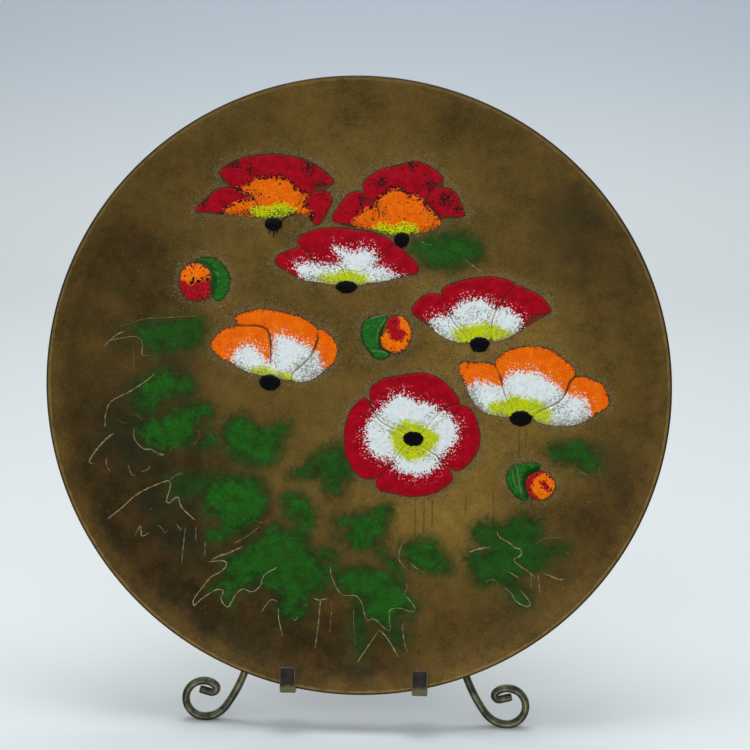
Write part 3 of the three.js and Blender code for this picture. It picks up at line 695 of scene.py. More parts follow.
# Clouds of lighter and darker brown in the ground enamel: u, v and the brightness there.
ground_clouds = [
    (0, 20, 93), (0, 150, 98), (-90, 130, 92), (90, 140, 81), (60, 160, 57), (140, 60, 66),
    (165, 0, 46), (150, -62, 28), (-165, 20, 73), (-140, 60, 57), (-130, -60, 42), (-100, -100, 48),
    (-60, -150, 53), (0, -168, 39), (70, -140, 91), (45, -75, 124), (110, 80, 58), (100, -30, 113),
    (-60, 60, 94), (-30, -20, 99), (60, 0, 107), (-150, -20, 55), (120, -100, 81), (20, -120, 77),
    (90, 26, 134), (40, 140, 110), (128, -24, 110), (136, 28, 94), (84, 104, 100), (-90, -148, 41),
    (138, -100, 61), (100, -136, 67),
]

# Scratched lines: width in millimetres, how pale from 0 to 1, and the points they pass through.
scratches = [
    (0.5, 0.45, [(-137.5, 34.5), (-133.5, 36), (-122.5, 39.5), (-116, 40), (-92, 41.5)]),
    (0.9, 0.75, [(-146, 23), (-142.5, 27), (-138, 30.5), (-134.5, 32)]),
    (0.8, 0.75, [(-146, 23), (-143.5, 26), (-137, 28), (-127.5, 29), (-125, 27.5), (-124, 24.5),
        (-124, 18.5), (-120, 18.5)]),
    (0.5, 0.4, [(-129, 23.5), (-129, 8)]),
    (0.9, 0.75, [(-117, 8), (-120, 5), (-131, -2.5), (-142, -8.5), (-144, -11), (-146, -18),
        (-146, -24.5)]),
    (1.2, 0.85, [(-141, -27.5), (-144.5, -30), (-152.5, -39), (-155, -44.5), (-152.5, -45.5)]),
    (0.7, 0.7, [(-145.5, -41.5), (-145.5, -46), (-143.5, -50)]),
    (0.8, 0.75, [(-133, -46), (-130.5, -52), (-128.5, -52)]),
    (0.8, 0.75, [(-125, -50), (-121, -48), (-120, -46)]),
    (0.9, 0.8, [(-129, -24.5), (-129.5, -28), (-128.5, -31.5), (-126, -34.5), (-123, -36.5),
        (-119.5, -36.5), (-116, -38.5), (-112, -39.5), (-116.5, -40)]),
    (0.5, 0.4, [(-139.5, -18.5), (-135, -21.5), (-132.5, -20.5)]),
    (0.5, 0.4, [(-130, -16.5), (-127, -17), (-125.5, -18.5), (-122.5, -19)]),
    (0.5, 0.4, [(-92, -24.5), (-91.5, -29), (-95, -34)]),
    (0.5, 0.45, [(-108, -38.5), (-108, -36), (-104, -34)]),
    (1, 0.9, [(-46, -105), (-53.5, -110), (-56, -116.5), (-60.5, -120), (-66, -118.5), (-69.5, -121),
        (-75, -129.5), (-77, -128), (-79, -124.5), (-77.5, -120), (-80.5, -119), (-90.5, -125),
        (-94.5, -128.5), (-95, -126), (-89, -117), (-84.5, -111.5), (-80, -109), (-76.5, -106),
        (-75.5, -103.5), (-77, -102), (-86.5, -102.5)]),
    (1.4, 0.8, [(-84.5, -101.5), (-80, -99), (-75.5, -97.5), (-66, -93)]),
    (0.5, 0.6, [(-51, -77.5), (-56, -78.5), (-59, -77)]),
    (0.6, 0.65, [(-56, -80.5), (-62.5, -86), (-71.5, -91.5)]),
    (1.1, 0.9, [(-144.5, -77.5), (-137, -71.5), (-130, -65), (-125, -61.5), (-113.5, -56), (-110, -55),
        (-108.5, -55.5), (-108.5, -59), (-110.5, -67.5), (-109, -68), (-107, -66), (-104, -64.5),
        (-102, -70), (-94, -78)]),
    (0.5, 0.6, [(-109, -55), (-105, -51.5), (-100, -50)]),
    (0.9, 0.6, [(-99.5, -81.5), (-100.5, -90), (-101.5, -99), (-102, -104)]),
    (0.8, 0.55, [(-93.5, -81.5), (-93.5, -90.5)]),
    (0.8, 0.55, [(-88, -90.5), (-88.5, -100)]),
    (0.7, 0.6, [(-116, -81.5), (-114, -82.5), (-111.5, -86), (-110, -84)]),
    (0.7, 0.6, [(-105.5, -79.5), (-102, -84), (-101.5, -82)]),
    (1.1, 0.75, [(-129, -87.5), (-126, -82), (-125, -88), (-121, -86)]),
    (0.7, 0.7, [(-120.5, -72), (-119, -71.5)]),
    (0.8, 0.75, [(-55.5, -132.5), (-50, -125), (-47.5, -124.5), (-45.5, -126)]),
    (1, 0.75, [(-45, -129.5), (-45, -135.5), (-42.5, -146.5)]),
    (1, 0.8, [(-37, -135), (-35.5, -136.5), (-33.5, -134.5)]),
    (0.6, 0.5, [(-31, -126), (-28.5, -128)]),
    (1.1, 0.8, [(-24.5, -123), (-21.5, -124), (-16.5, -123)]),
    (1, 0.75, [(-20.5, -124.5), (-21.5, -136.5), (-22.5, -145), (-23.5, -153)]),
    (0.7, 0.5, [(-14.5, -122), (-14, -129.5), (-14.5, -136.5), (-15, -143.5)]),
    (0.8, 0.75, [(-15, -103.5), (-14, -110), (-8, -120.5), (0, -121), (3, -124), (7, -135.5), (10, -134.5),
        (13.5, -136.5), (17, -140), (20, -141.5), (20, -129.5), (22.5, -128), (27.5, -128), (31, -129.5),
        (35, -129), (34, -126), (28.5, -118.5), (30, -116), (29, -112.5)]),
    (0.5, 0.55, [(-1, -127.5), (-1, -136.5), (0, -147.5), (0.5, -151)]),
    (1, 0.9, [(14, -141), (7, -152), (1.5, -160.5)]),
    (1.1, 0.9, [(14, -141), (17.5, -144.5), (21, -149.5), (25.5, -157)]),
    (1.2, 0.6, [(27.5, -136.5), (28, -143.5), (29.5, -151), (31, -154)]),
    (0.8, 0.7, [(27.5, -87.5), (25.5, -93), (25, -98.5), (29, -104)]),
    (0.7, 0.55, [(31, -100), (35, -103.5), (41.5, -107)]),
    (1.1, 0.85, [(81.5, -80.5), (82.5, -83.5), (89.5, -88), (91.5, -90), (95, -91), (96, -93), (95, -95),
        (91.5, -97.5), (99.5, -104)]),
    (0.9, 0.75, [(88.5, -104.5), (95.5, -108.5)]),
    (1.4, 0.75, [(65.5, -93.5), (69, -92), (77.5, -90)]),
    (0.9, 0.85, [(96, -115.5), (101.5, -123), (100, -124.5), (96, -123.5), (93, -121.5), (90.5, -117.5),
        (86.5, -114)]),
    (1, 0.9, [(109, -105), (118.5, -108), (120.5, -107.5)]),
    (0.5, 0.5, [(103.5, -88), (109, -84.5), (120, -83.5)]),
    (0.6, 0.6, [(101.5, -75), (107, -70)]),
    (0.8, 0.7, [(120, -80.5), (122, -81.5)]),
    (0.5, 0.5, [(139.5, -41), (139, -45.5), (143, -52)]),
    (0.5, 0.5, [(125, -42.5), (132.5, -47), (138.5, -51)]),
    (0.7, 0.65, [(60, 76), (70, 69)]),
    (0.7, 0.65, [(35, 86), (38, 84.5), (41.5, 84)]),
    (0.6, 0.55, [(16.5, 44.5), (20.5, 44)]),
    (0.7, 0.6, [(75.5, -111), (78.5, -109.5), (81, -110), (84, -112.5)]),
    (0.8, 0.7, [(98, -102.5), (104, -107.5)]),
    (0.8, 0.7, [(105.5, -105), (107, -117)]),
    (0.7, 0.65, [(101.5, -104.5), (102, -114)]),
]


# Short pale flecks beside the scratched lines: u and v.
flecks = [(-25.4, -53.8), (11.6, -76), (35.6, -113.5), (133.8, -62.2), (-114, 104.5),
          (-97.8, 79.5), (70, 67), (122.4, -92.4)]

# Faint dark stems painted under the glaze: u, top v, bottom v.
stems = [(93, -20, -36), (63, -60, -69), (79, -58, -74), (34, -62, -84), (39, -63, -82),
         (44, -62, -79), (97, -21, -30)]

# ---------- the plate ----------

CLOUD_REACH = 26.0
TOP_SPACING = 1.35
UNDERSIDE_SPACING = 6.0
COPPER_SPACING = 8.0
BACK_SPACING = 2.4
LIP_OVERHANG = 0.8
CLEARANCE = 0.04


def rings_between(low, high, spacing, height, outward=True):
    """Rings (radius, height, count) about spacing apart, from low to high or back."""
    steps = max(1, round((high - low) / spacing))
    radii = [low + (high - low) * k / steps for k in range(steps + 1)]
    if not outward:
        radii.reverse()
    return [
        (r, float(height(r)), max(8, round(2 * math.pi * r / spacing)) if r > 0 else 1)
        for r in radii
    ]


def front_enamel():
    edge = LIP_RADIUS + LIP_OVERHANG
    top = rings_between(0, LIP_RADIUS, TOP_SPACING, dish_height)
    count = top[-1][2]
    lip = [(edge - inset, -LIP_DROP - drop, count) for inset, drop in (
        (0.25, 0.04), (0, 0.2), (0, 0.36), (0.2, COPPER_TOP - CLEARANCE),
    )]
    under = rings_between(
        0, LIP_RADIUS - 1, UNDERSIDE_SPACING,
        lambda r: dish_height(r) - COPPER_TOP + CLEARANCE, False,
    )
    points, faces = ring_shell(top + lip + under)
    flat = points[:, :2]
    leaf, glow, murk = green_near(flat)
    gap, seam = flowers_near(flat)
    add_object(
        "front_enamel_ground", points, faces, ground_material(), "plate",
        ["front_enamel"],
        {"leaf": leaf, "glow": glow, "murk": murk, "gap": gap, "seam": seam,
         "tone": ground_tone(flat), "radius": np.hypot(*flat.T)},
    )


def green_near(flat):
    """Depth into the leaves, the nearest leaf's brightness, and the dark patches."""
    leaf = np.full(len(flat), -12.0)
    glow = np.zeros(len(flat))
    for brightness, corners in leaves:
        distance = signed_distance(flat, smooth(corners, 2.5))
        closer = distance > leaf
        leaf = np.where(closer, distance, leaf)
        glow = np.where(closer, brightness, glow)
    murk = np.zeros(len(flat))
    for strength, corners in dark_patches:
        distance = signed_distance(flat, smooth(corners, 4), 14)
        murk = np.maximum(murk, strength * np.clip((distance + 9) / 12, 0, 1))
    return leaf, glow, murk


def flowers_near(flat):
    """Distance to the nearest raised enamel, and how pale its outline is."""
    gap = np.full(len(flat), 12.0)
    seam = np.zeros(len(flat))
    for flower in poppies:
        for petal in flower["petals"]:
            distance = -signed_distance(flat, smooth(petal, 2.0))
            seam = np.where(distance < np.minimum(gap, 4), flower["seam"], seam)
            gap = np.minimum(gap, distance)
    for shape in buds:
        for key in ("petals", "sepal"):
            gap = np.minimum(gap, -signed_distance(flat, smooth(shape[key], 2.0)))
    return gap, seam


def ground_tone(flat):
    """The ground's brown: the clouds' colours, each strongest near its own place."""
    places = np.array([(u, v) for u, v, _ in ground_clouds], float)
    browns = np.array([paint(b, 0.79 * b, 0.38 * b - 4) for _, _, b in ground_clouds])
    apart = np.linalg.norm(flat[:, None, :] - places[None], axis=2)
    weights = np.exp(-((apart / CLOUD_REACH) ** 2) / 2) + 1e-6
    return weights @ browns / weights.sum(1)[:, None]


class Ground(Shader):
    """The ground enamel's shader, with the noises that all of its layers share."""

    def __init__(self):
        super().__init__("ground_enamel")
        self.place = self.spot()
        self.blotch = self.noise(self.place, 6, 4, 0.6)
        self.fine = self.noise(self.place, 1.1, 3, 0.6, 0.6)
        self.grain = self.cells(self.place, 0.42)
        broad = self.noise(self.place, 30, 3, 0.5, 0.5)
        hair = self.math("SUBTRACT", self.noise(self.place, 2.4, 2, 0.5, 2.2), 0.5)
        self.mottle = self.add(
            1.0, self.swing(broad, 0.55), self.swing(self.blotch, 0.42), self.swing(self.fine, 0.50),
            self.swing(self.grain, 0.14), self.ramp(self.math("ABSOLUTE", hair), 0, 0.022, 0.26, 0),
        )

    def mottled(self, colour):
        return self.shade(colour, self.mottle)


def ground_material():
    s = Ground()
    colour = s.mottled(s.attribute("tone", "Color"))
    warm = s.ramp(s.noise(s.place, 15, 3, 0.6), 0.42, 0.72, 0, 0.55)
    colour = s.mix(warm, colour, s.shade(s.mix(0.4, colour, paint(122, 80, 34)), 0.95))
    colour = rim_layer(s, colour)
    colour = bloom_layer(s, colour)
    colour = stem_layer(s, colour)
    colour = green_layer(s, colour)
    s.bump(s.add(s.times(s.fine, 0.5), s.times(s.grain, 0.2), s.times(s.blotch, 1.4)), 0.10)
    roughness = s.add(0.40, s.swing(s.fine, 0.16), s.swing(s.blotch, 0.12))
    return s.finish(colour, roughness, Specular_IOR_Level=ENAMEL_GLOSS)


def rim_layer(s, colour):
    """A painted highlight as a paler band near the rim where its upturned side catches the light, a thin
    pale line, and the dark lip.
    """
    radius = s.attribute("radius")
    # Painted highlight: the rising side of the rim is made paler, standing for the light it catches.
    rim_highlight = s.ramp(s.add(radius, s.swing(s.blotch, 4)), 164, 175, 0, 0.34)
    colour = s.mix(rim_highlight, colour, s.mottled(paint(108, 84, 38)))
    from_line = s.math("ABSOLUTE", s.add(radius, -176.1, s.swing(s.blotch, 0.4)))
    line = s.times(s.ramp(from_line, 0.8, 0.25, 0, 0.55), s.ramp(s.blotch, 0.3, 0.6, 0.4, 1))
    colour = s.mix(line, colour, paint(136, 112, 68))
    lip = s.ramp(s.add(radius, s.swing(s.fine, 0.4)), 176.8, 177.3, 0, 0.9)
    return s.mix(lip, colour, paint(40, 31, 20))


def bloom_layer(s, colour):
    """Stray grains, a grey bloom and a thin outline round each raised petal, the dark outline partly
    painted shade.
    """
    gap = s.attribute("gap")
    speck = s.ramp(s.cells(s.place, 0.8), 0.975, 0.985)
    colour = s.mix(s.times(speck, s.ramp(gap, 12, 4, 0.12, 0.6)), colour, paint(128, 114, 78))
    bloom = s.ramp(s.add(gap, s.swing(s.blotch, 2.5)), 5.5, 0.6, 0, 0.45)
    colour = s.mix(bloom, colour, s.mottled(paint(104, 90, 58)))
    halo = s.ramp(s.add(gap, s.swing(s.blotch, 7)), 7.5, 1.0)
    colour = s.mix(s.times(halo, s.ramp(s.grain, 0.88, 0.92), 0.6), colour, paint(132, 122, 88))
    colour = s.mix(s.times(halo, s.ramp(s.grain, 0.14, 0.10), 0.7), colour, paint(30, 26, 14))
    # The outline's dark colour is partly the darker ground along the petal's edge and partly painted shade
    # where the raised petal meets the ground; flowers with pale seams get a paler line.
    outline = s.ramp(s.add(gap, s.swing(s.fine, 0.9), s.swing(s.grain, 0.3)), 0.95, 0.3, 0, 0.7)
    return s.mix(outline, colour, s.mix(s.attribute("seam"), paint(48, 41, 24), paint(128, 104, 78)))


def stem_layer(s, colour):
    """Stems, drawn thin and dark under the glaze."""
    spot_u, spot_v, _ = s.split(s.place)
    for u, top, bottom in stems:
        across = s.math("ABSOLUTE", s.add(spot_u, -u, s.swing(s.blotch, 1.2)))
        above = s.ramp(spot_v, bottom - 3, bottom + 2)
        below = s.ramp(spot_v, top + 2, top - 2)
        stem = s.times(s.ramp(across, 0.8, 0.2), above, below, 0.38)
        colour = s.mix(stem, colour, paint(46, 38, 20))
    return colour


def green_layer(s, colour):
    """Sprayed green: a murky haze first, then dark green, then bright green."""
    murk = s.times(s.attribute("murk"), s.ramp(s.blotch, 0.25, 0.75, 0.55, 1.15))
    colour = s.mix(murk, colour, s.mottled(paint(36, 40, 22)))
    leaf = s.add(
        s.attribute("leaf"), s.swing(s.noise(s.place, 8, 3, 0.55, 1.2), 6.0),
        s.swing(s.blotch, 3.0), s.swing(s.noise(s.place, 1.6, 2), 2.2), s.swing(s.grain, 1.6),
    )
    colour = s.mix(s.ramp(leaf, -9, 0, 0, 0.5), colour, s.mottled(paint(52, 62, 26)))
    depth = s.add(0.92, s.swing(s.fine, 0.4), s.swing(s.blotch, 0.6))
    colour = s.mix(s.ramp(leaf, -4.8, 2.6, 0, 0.94), colour, s.shade(paint(32, 56, 20), depth))
    bright = s.times(
        s.ramp(s.add(leaf, s.swing(s.blotch, 3.5)), -1.4, 6.0),
        s.ramp(s.attribute("glow"), 0.2, 0.95, 0.05, 1.0),
        s.ramp(s.noise(s.place, 9, 3), 0.3, 0.6, 0.5, 1.1),
    )
    depth = s.add(1.0, s.swing(s.grain, 0.3), s.swing(s.fine, 0.4), s.swing(s.blotch, 0.5))
    pinhole = s.add(s.noise(s.place, 2.6, 2), s.swing(s.grain, 0.1))
    green = s.mix(
        s.ramp(pinhole, 0.66, 0.71, 0, 0.35), s.shade(paint(30, 88, 18), depth), paint(20, 44, 14)
    )
    return s.mix(bright, colour, green)


def copper_plate():
    edge_sides = 256
    wall = (COPPER_BOTTOM - COPPER_TOP) / 2
    middle = -LIP_DROP - (COPPER_TOP + COPPER_BOTTOM) / 2
    edge = [(PLATE_RADIUS - wall + wall * math.cos(a), middle + wall * math.sin(a), edge_sides)
            for a in np.radians((70, 40, 15, -15, -40, -70))]
    top, under = (
        rings_between(0, LIP_RADIUS, COPPER_SPACING, lambda r: dish_height(r) - depth, outward)
        for depth, outward in ((COPPER_TOP, True), (COPPER_BOTTOM, False))
    )
    points, faces = ring_shell(top + edge + under)
    add_object(
        "copper_plate_blank", points, faces, copper_material(), "plate", ["copper_plate"],
        {"radius": np.hypot(points[:, 0], points[:, 1])},
    )


def back_enamel():
    top = rings_between(
        0, LIP_RADIUS - 0.6, COPPER_SPACING, lambda r: dish_height(r) - BACK_TOP + 0.15
    )
    edge_sides = top[-1][2] * 2
    edge = [(LIP_RADIUS - inset, -LIP_DROP - drop, edge_sides) for inset, drop in (
        (0.1, BACK_TOP + 0.05), (0.1, BACK_BOTTOM - 0.14), (0.5, BACK_BOTTOM - 0.02),
    )]
    under = rings_between(
        0, LIP_RADIUS - 1.2, BACK_SPACING, lambda r: dish_height(r) - BACK_BOTTOM, False
    )
    points, faces = ring_shell(top + edge + under)
    add_object(
        "back_enamel_counter", points, faces, back_material(), "plate",
        ["back_enamel"], {"radius": np.hypot(points[:, 0], points[:, 1])},
    )


def copper_material():
    s = Shader("copper")
    spot = s.spot()
    stain = s.noise(spot, 9, 4, 0.6)
    fine = s.noise(spot, 0.7, 3)
    colour = s.mix(s.ramp(stain, 0.35, 0.7), paint(104, 72, 46), paint(62, 42, 28))
    colour = s.mix(s.ramp(fine, 0.55, 0.8, 0, 0.35), colour, paint(150, 104, 70))
    # Fire scale blackens the bare rolled edge.
    scale = s.ramp(s.add(s.attribute("radius"), s.swing(fine, 0.4)), 176.4, 177.2, 0, 0.88)
    colour = s.mix(scale, colour, paint(34, 26, 20))
    s.bump(fine, 0.04)
    return s.finish(colour, s.add(0.46, s.swing(stain, 0.2)), Metallic=0.8)


def back_material():
    s = Shader("back_enamel")
    spot = s.spot()
    cloud = s.noise(spot, 30, 3)
    blotch = s.noise(spot, 5, 4, 0.6)
    fine = s.noise(spot, 0.9, 3)
    speck = s.cells(spot, 0.9)
    big_speck = s.cells(spot, 2.2)
    colour = s.mix(s.ramp(cloud, 0.3, 0.7), paint(60, 50, 34), paint(46, 40, 30))
    colour = s.shade(colour, s.add(1.0, s.swing(blotch, 0.35), s.swing(fine, 0.2)))
    colour = s.mix(s.ramp(speck, 0.86, 0.9, 0, 0.75), colour, paint(118, 104, 78))
    colour = s.mix(s.ramp(speck, 0.12, 0.08, 0, 0.8), colour, paint(20, 18, 15))
    colour = s.mix(s.ramp(big_speck, 0.94, 0.97, 0, 0.7), colour, paint(124, 74, 44))
    radius = s.attribute("radius")
    colour = s.mix(s.ramp(s.add(radius, s.swing(blotch, 3)), 171, 176, 0, 0.6), colour,
                   paint(74, 46, 28))
    s.bump(s.add(s.times(blotch, 1.5), s.times(fine, 0.4)), 0.12)
    return s.finish(colour, s.add(0.30, s.swing(blotch, 0.14)), Specular_IOR_Level=0.4)


# ---------- the flowers ----------

PATCH_SPACING = 0.62
PATCH_BOTTOM = -10.08
PATCH_TOP = -9.42
EYE_BOTTOM = -10.0
EYE_TOP = -8.75
EYE_CROWN = 0.25
EYE_STEPS = 180
BUD_TOP = -8.8
BUD_CROWN = 0.3
SEPAL_TOP = -9.5
# How far the petals' edges wander: a little along the seams, and more where they are free.
SEAM_WANDER = 0.15
FREE_WANDER = {RED: 0.15, ORANGE: 0.32}


def joined(parts):
    """Several (points, faces, attributes) as one mesh's data."""
    points, faces, attributes = [], [], {}
    offset = 0
    for part_points, part_faces, part_attributes in parts:
        points.append(part_points)
        faces += [tuple(i + offset for i in face) for face in part_faces]
        for key, values in part_attributes.items():
            attributes.setdefault(key, []).append(values)
        offset += len(part_points)
    return np.vstack(points), faces, {k: np.concatenate(v) for k, v in attributes.items()}


def ragged(outline, amount, seed, grow=0.0):
    """The outline grown a little and made uneven, as sifted grains leave it."""
    along = np.roll(outline, -1, axis=0) - np.roll(outline, 1, axis=0)
    away = np.column_stack([along[:, 1], -along[:, 0]]) / np.linalg.norm(along, axis=1)[:, None]
    if signed_distance(outline[:1] + 0.2 * away[:1], outline)[0] > 0:
        away = -away
    fine = wobble(outline, 2.6, seed) * 0.6 + wobble(outline, 1.4, seed + 1) * 0.4
    return outline + away * (fine * amount + grow)[:, None]


def worn_near(flat, places):
    """How worn the enamel is: 1 at the middle of a worn place, 0 past its reach."""
    worn = np.zeros(len(flat))
    for u, v, reach in places:
        worn = np.maximum(worn, 1 - np.hypot(flat[:, 0] - u, flat[:, 1] - v) / reach)
    return worn


def away_from(flat, others):
    """1 at points clear of the neighbouring petals, 0 along the seams between them."""
    beside = np.max([signed_distance(flat, other) for other in others], axis=0)
    return np.clip((-beside - 1.5) / 1.5, 0, 1)


def poppy(index, flower):
    """One flower: its petals as one raised enamel piece, and its black eye."""
    name = f"poppy_{index}"
    eye = np.array(flower["eye"], float)
    zones = {key: smooth(flower[key], 2.0) for key in ("middle", "heart")}
    parts = []
    for number, corners in enumerate(flower["petals"]):
        others = [smooth(c, 1.5) for c in flower["petals"] if c is not corners]
        outline = smooth(corners, 0.6)
        wander = SEAM_WANDER + FREE_WANDER[flower["base"]] * away_from(outline, others)
        outline = ragged(outline, wander, 10 * index + number, flower["growth"])

        def top_of(flat, depth, seed=100 * index + number):
            away = np.linalg.norm(flat - eye, axis=1)
            swell = 0.10 * np.clip(depth / 7, 0, 1) + 0.05 * wobble(flat, 9, seed)
            ripple = 0.03 * wobble(flat, 2.2, seed + 5)
            fall = -0.05 * np.clip(away / 45, 0, 1)
            return PATCH_TOP + swell + ripple + fall

        points, faces, depth = slab(outline, PATCH_SPACING, top_of, PATCH_BOTTOM, 0.9)
        flat = points[:, :2]
        from_eye = flat - eye
        attributes = {
            "edge": depth,
            "outside": away_from(flat, others),
            "middle": signed_distance(flat, zones["middle"], 30),
            "heart": signed_distance(flat, zones["heart"], 20),
            "ray": 16 * np.arctan2(from_eye[:, 0], from_eye[:, 1]),
            "away": np.hypot(*from_eye.T),
            "worn": worn_near(flat, flower["worn"]),
        }
        parts.append((points, faces, attributes))
    points, faces, attributes = joined(parts)
    add_object(
        f"{name}_enamel", points, faces, petal_material(flower["base"], flower["middle_colour"]),
        "plate", [f"{name}_petals"], attributes,
    )
    add_eye(name, flower, index)


def add_eye(name, flower, seed):
    centre = np.array(flower["eye"], float)
    wide, tall = flower["eye_size"]
    rng = random.Random(seed)
    phases = [rng.uniform(0, 2 * math.pi) for _ in range(3)]
    outline = []
    for i in range(EYE_STEPS):
        angle = 2 * math.pi * i / EYE_STEPS
        reach = 1 + 0.02 * sum(math.sin((2 + 5 * k) * angle + p) for k, p in enumerate(phases))
        x, y = wide * reach * math.cos(angle), tall * reach * math.sin(angle)
        for place, length, width in flower["drips"]:
            if math.sin(angle) < 0:
                y -= length * math.exp(-(((x - place) / width) ** 2))
        outline.append(centre + (x, y))

    def top_of(flat, depth):
        crown = EYE_CROWN * (np.sqrt(np.clip(depth / 3, 0, 1)) - 1)
        return EYE_TOP + crown + 0.02 * wobble(flat, 2, 3)

    points, faces, depth = slab(np.array(outline), 0.45, top_of, EYE_BOTTOM, 1.1)
    parts = [(points, faces, {"edge": depth})]
    for trail in flower["runs"]:
        path = smooth(trail, 0.5, closed=False)
        points, faces = ribbon(path, 0.9, seed, PATCH_TOP + 0.1 + DISH_DEPTH)
        parts.append((points, faces, {"edge": np.full(len(points), 1.0)}))
    points, faces, attributes = joined(parts)
    add_object(
        f"{name}_eye_dome", points, faces, eye_material(), "plate",
        [f"{name}_eye"], attributes,
    )


@cache
def petal_material(base, middle_colour):
    s = Enamel(f"petal_{base}_{middle_colour}")
    middle, heart, edge, worn = (s.attribute(n) for n in ("middle", "heart", "edge", "worn"))
    rays = {0: s.attribute("ray"), 1: s.times(s.attribute("away"), 0.22)}
    fan = s.node("CombineXYZ", rays)[0]
    colour = petal_colour(s, base, fan, edge)
    wear = s.times(worn, 0.36 if middle_colour == ORANGE else 0.08)
    holes = s.add(s.noise(s.place, 1.3, 2), s.swing(s.grain, 0.12), wear)
    if middle_colour == WHITE:
        colour = white_middle(s, colour, middle, worn, s.noise(fan, 0.75, 3, 0.6))
        holes = s.add(holes, s.ramp(middle, -1, 2, 0, -0.08))
        uneven = (1.1, 0.6, 1.6)
    else:
        colour = orange_middle(s, colour, middle)
        uneven = (1.0, 0.6, 1.4)
    yellow = s.mix(s.ramp(s.clump, 0.35, 0.7), paint(188, 202, 4), paint(172, 188, 14))
    yellow = s.shade(yellow, s.add(1.0, s.swing(s.grain, 0.16)))
    spread = [s.swing(*pair) for pair in zip((s.grain, s.coarse, s.clump), uneven)]
    colour = s.mix(s.ramp(s.add(heart, *spread), -0.3, 0.3), colour, yellow)
    colour = s.mix(s.ramp(holes, 0.745, 0.785), colour, paint(30, 18, 16))

    # Towards the outline the grains thin out and the dark ground shows between them.
    reach = s.times(s.ramp(middle, -0.5, 1.5, 0.8, 3.6), s.attribute("outside"))
    nibbled = s.times(s.add(s.swing(s.grain, 1.0), s.swing(s.coarse, 0.7), -0.3), reach)
    bare = s.ramp(s.add(edge, nibbled), 0.12, 0.02)
    showing = paint(64, 48, 24)
    if middle_colour == WHITE:
        showing = s.mix(s.ramp(middle, 0, 1), showing, paint(134, 126, 100))
    colour = s.mix(s.times(bare, 0.85), colour, showing)
    s.bump(s.add(s.times(s.grain, 0.5), s.times(s.fine, 0.7), s.times(s.clump, 0.8)), 0.06)
    return s.finish(colour, s.add(0.36, s.swing(s.fine, 0.14)), Specular_IOR_Level=ENAMEL_GLOSS)


def petal_colour(s, base, fan, edge):
    """The petal's own red or orange, with dark clumps, veins and border."""
    if base == RED:
        tones = paint(146, 0, 18), paint(166, 2, 27), paint(70, 3, 12)
        clumped = 0.68, 0.74, 0, 0.75
    else:
        tones = paint(226, 94, 0), paint(236, 108, 2), paint(214, 66, 0)
        clumped = 0.7, 0.76, 0, 0.5
    colour = s.mix(s.ramp(s.noise(s.place, 5, 3), 0.35, 0.65), *tones[:2])
    colour = s.mix(s.ramp(s.add(s.clump, s.swing(s.grain, 0.1)), *clumped), colour, tones[2])
    vein = s.ramp(s.noise(fan, 0.9, 2, 0.5), 0.60, 0.70, 0, 0.30)
    border = s.ramp(s.add(edge, s.swing(s.grain, 0.5)), 0.7, 0.15, 0, 0.6)
    for darker in (vein, border):
        colour = s.mix(darker, colour, s.shade(colour, 0.35))
    return s.shade(colour, s.add(1.0, s.swing(s.fine, 0.22)))


def white_middle(s, colour, middle, worn, streak):
    """White sifted over the petal: solid in the middle, streaks and stray grains outside."""
    spread = s.add(
        s.swing(s.grain, 1.2), s.swing(s.coarse, 0.6), s.swing(s.clump, 1.2), s.swing(streak, 4.2)
    )
    solid = s.ramp(s.add(middle, spread), -0.25, 0.25)
    nearby = s.ramp(s.add(middle, s.swing(s.noise(s.place, 5, 3), 5)), -6.5, -1.5)
    stray = s.times(s.ramp(s.grain, 0.93, 0.94), nearby, 0.8)
    white = s.mix(s.ramp(s.clump, 0.4, 0.7), paint(222, 230, 230), paint(206, 216, 217))
    white = s.shade(white, s.add(1.0, s.swing(s.grain, 0.05), s.swing(s.fine, 0.05)))
    pepper = s.ramp(s.add(s.grain, s.times(worn, 0.42)), 1.0, 1.03, 0, 0.7)
    white = s.mix(pepper, white, paint(104, 94, 84))
    return s.mix(s.math("MAXIMUM", solid, stray), colour, white)


def orange_middle(s, colour, middle):
    """Orange laid over the petal, with black specks along its edge and a few elsewhere."""
    spread = s.add(s.swing(s.grain, 0.4), s.swing(s.coarse, 0.3), s.swing(s.clump, 1.2))
    orange = s.mix(s.ramp(s.clump, 0.4, 0.65), paint(222, 94, 0), paint(232, 112, 2))
    colour = s.mix(s.ramp(s.add(middle, spread), -0.2, 0.2), colour, orange)
    from_edge = s.math("ABSOLUTE", s.add(middle, s.swing(s.clump, 2.4), 0.3))
    edge_specks = s.times(s.ramp(from_edge, 1.3, 0.5), s.ramp(s.coarse, 0.52, 0.56))
    scattered = s.ramp(s.add(s.coarse, s.swing(s.clump, 0.25)), 0.97, 0.99)
    return s.mix(s.math("MAXIMUM", edge_specks, scattered), colour, paint(30, 14, 14))


@cache
def eye_material():
    s = Shader("black_enamel")
    spot = s.spot()
    fine = s.noise(spot, 0.7, 3)
    grain = s.cells(spot, GRAIN_SIZE)
    colour = s.mix(s.ramp(grain, 0.8, 0.95, 0, 0.7), paint(4, 4, 7), paint(14, 14, 20))
    s.bump(s.add(fine, s.times(grain, 0.4)), 0.10)
    return s.finish(colour, s.add(0.28, s.swing(fine, 0.16)), Specular_IOR_Level=DOME_GLOSS)


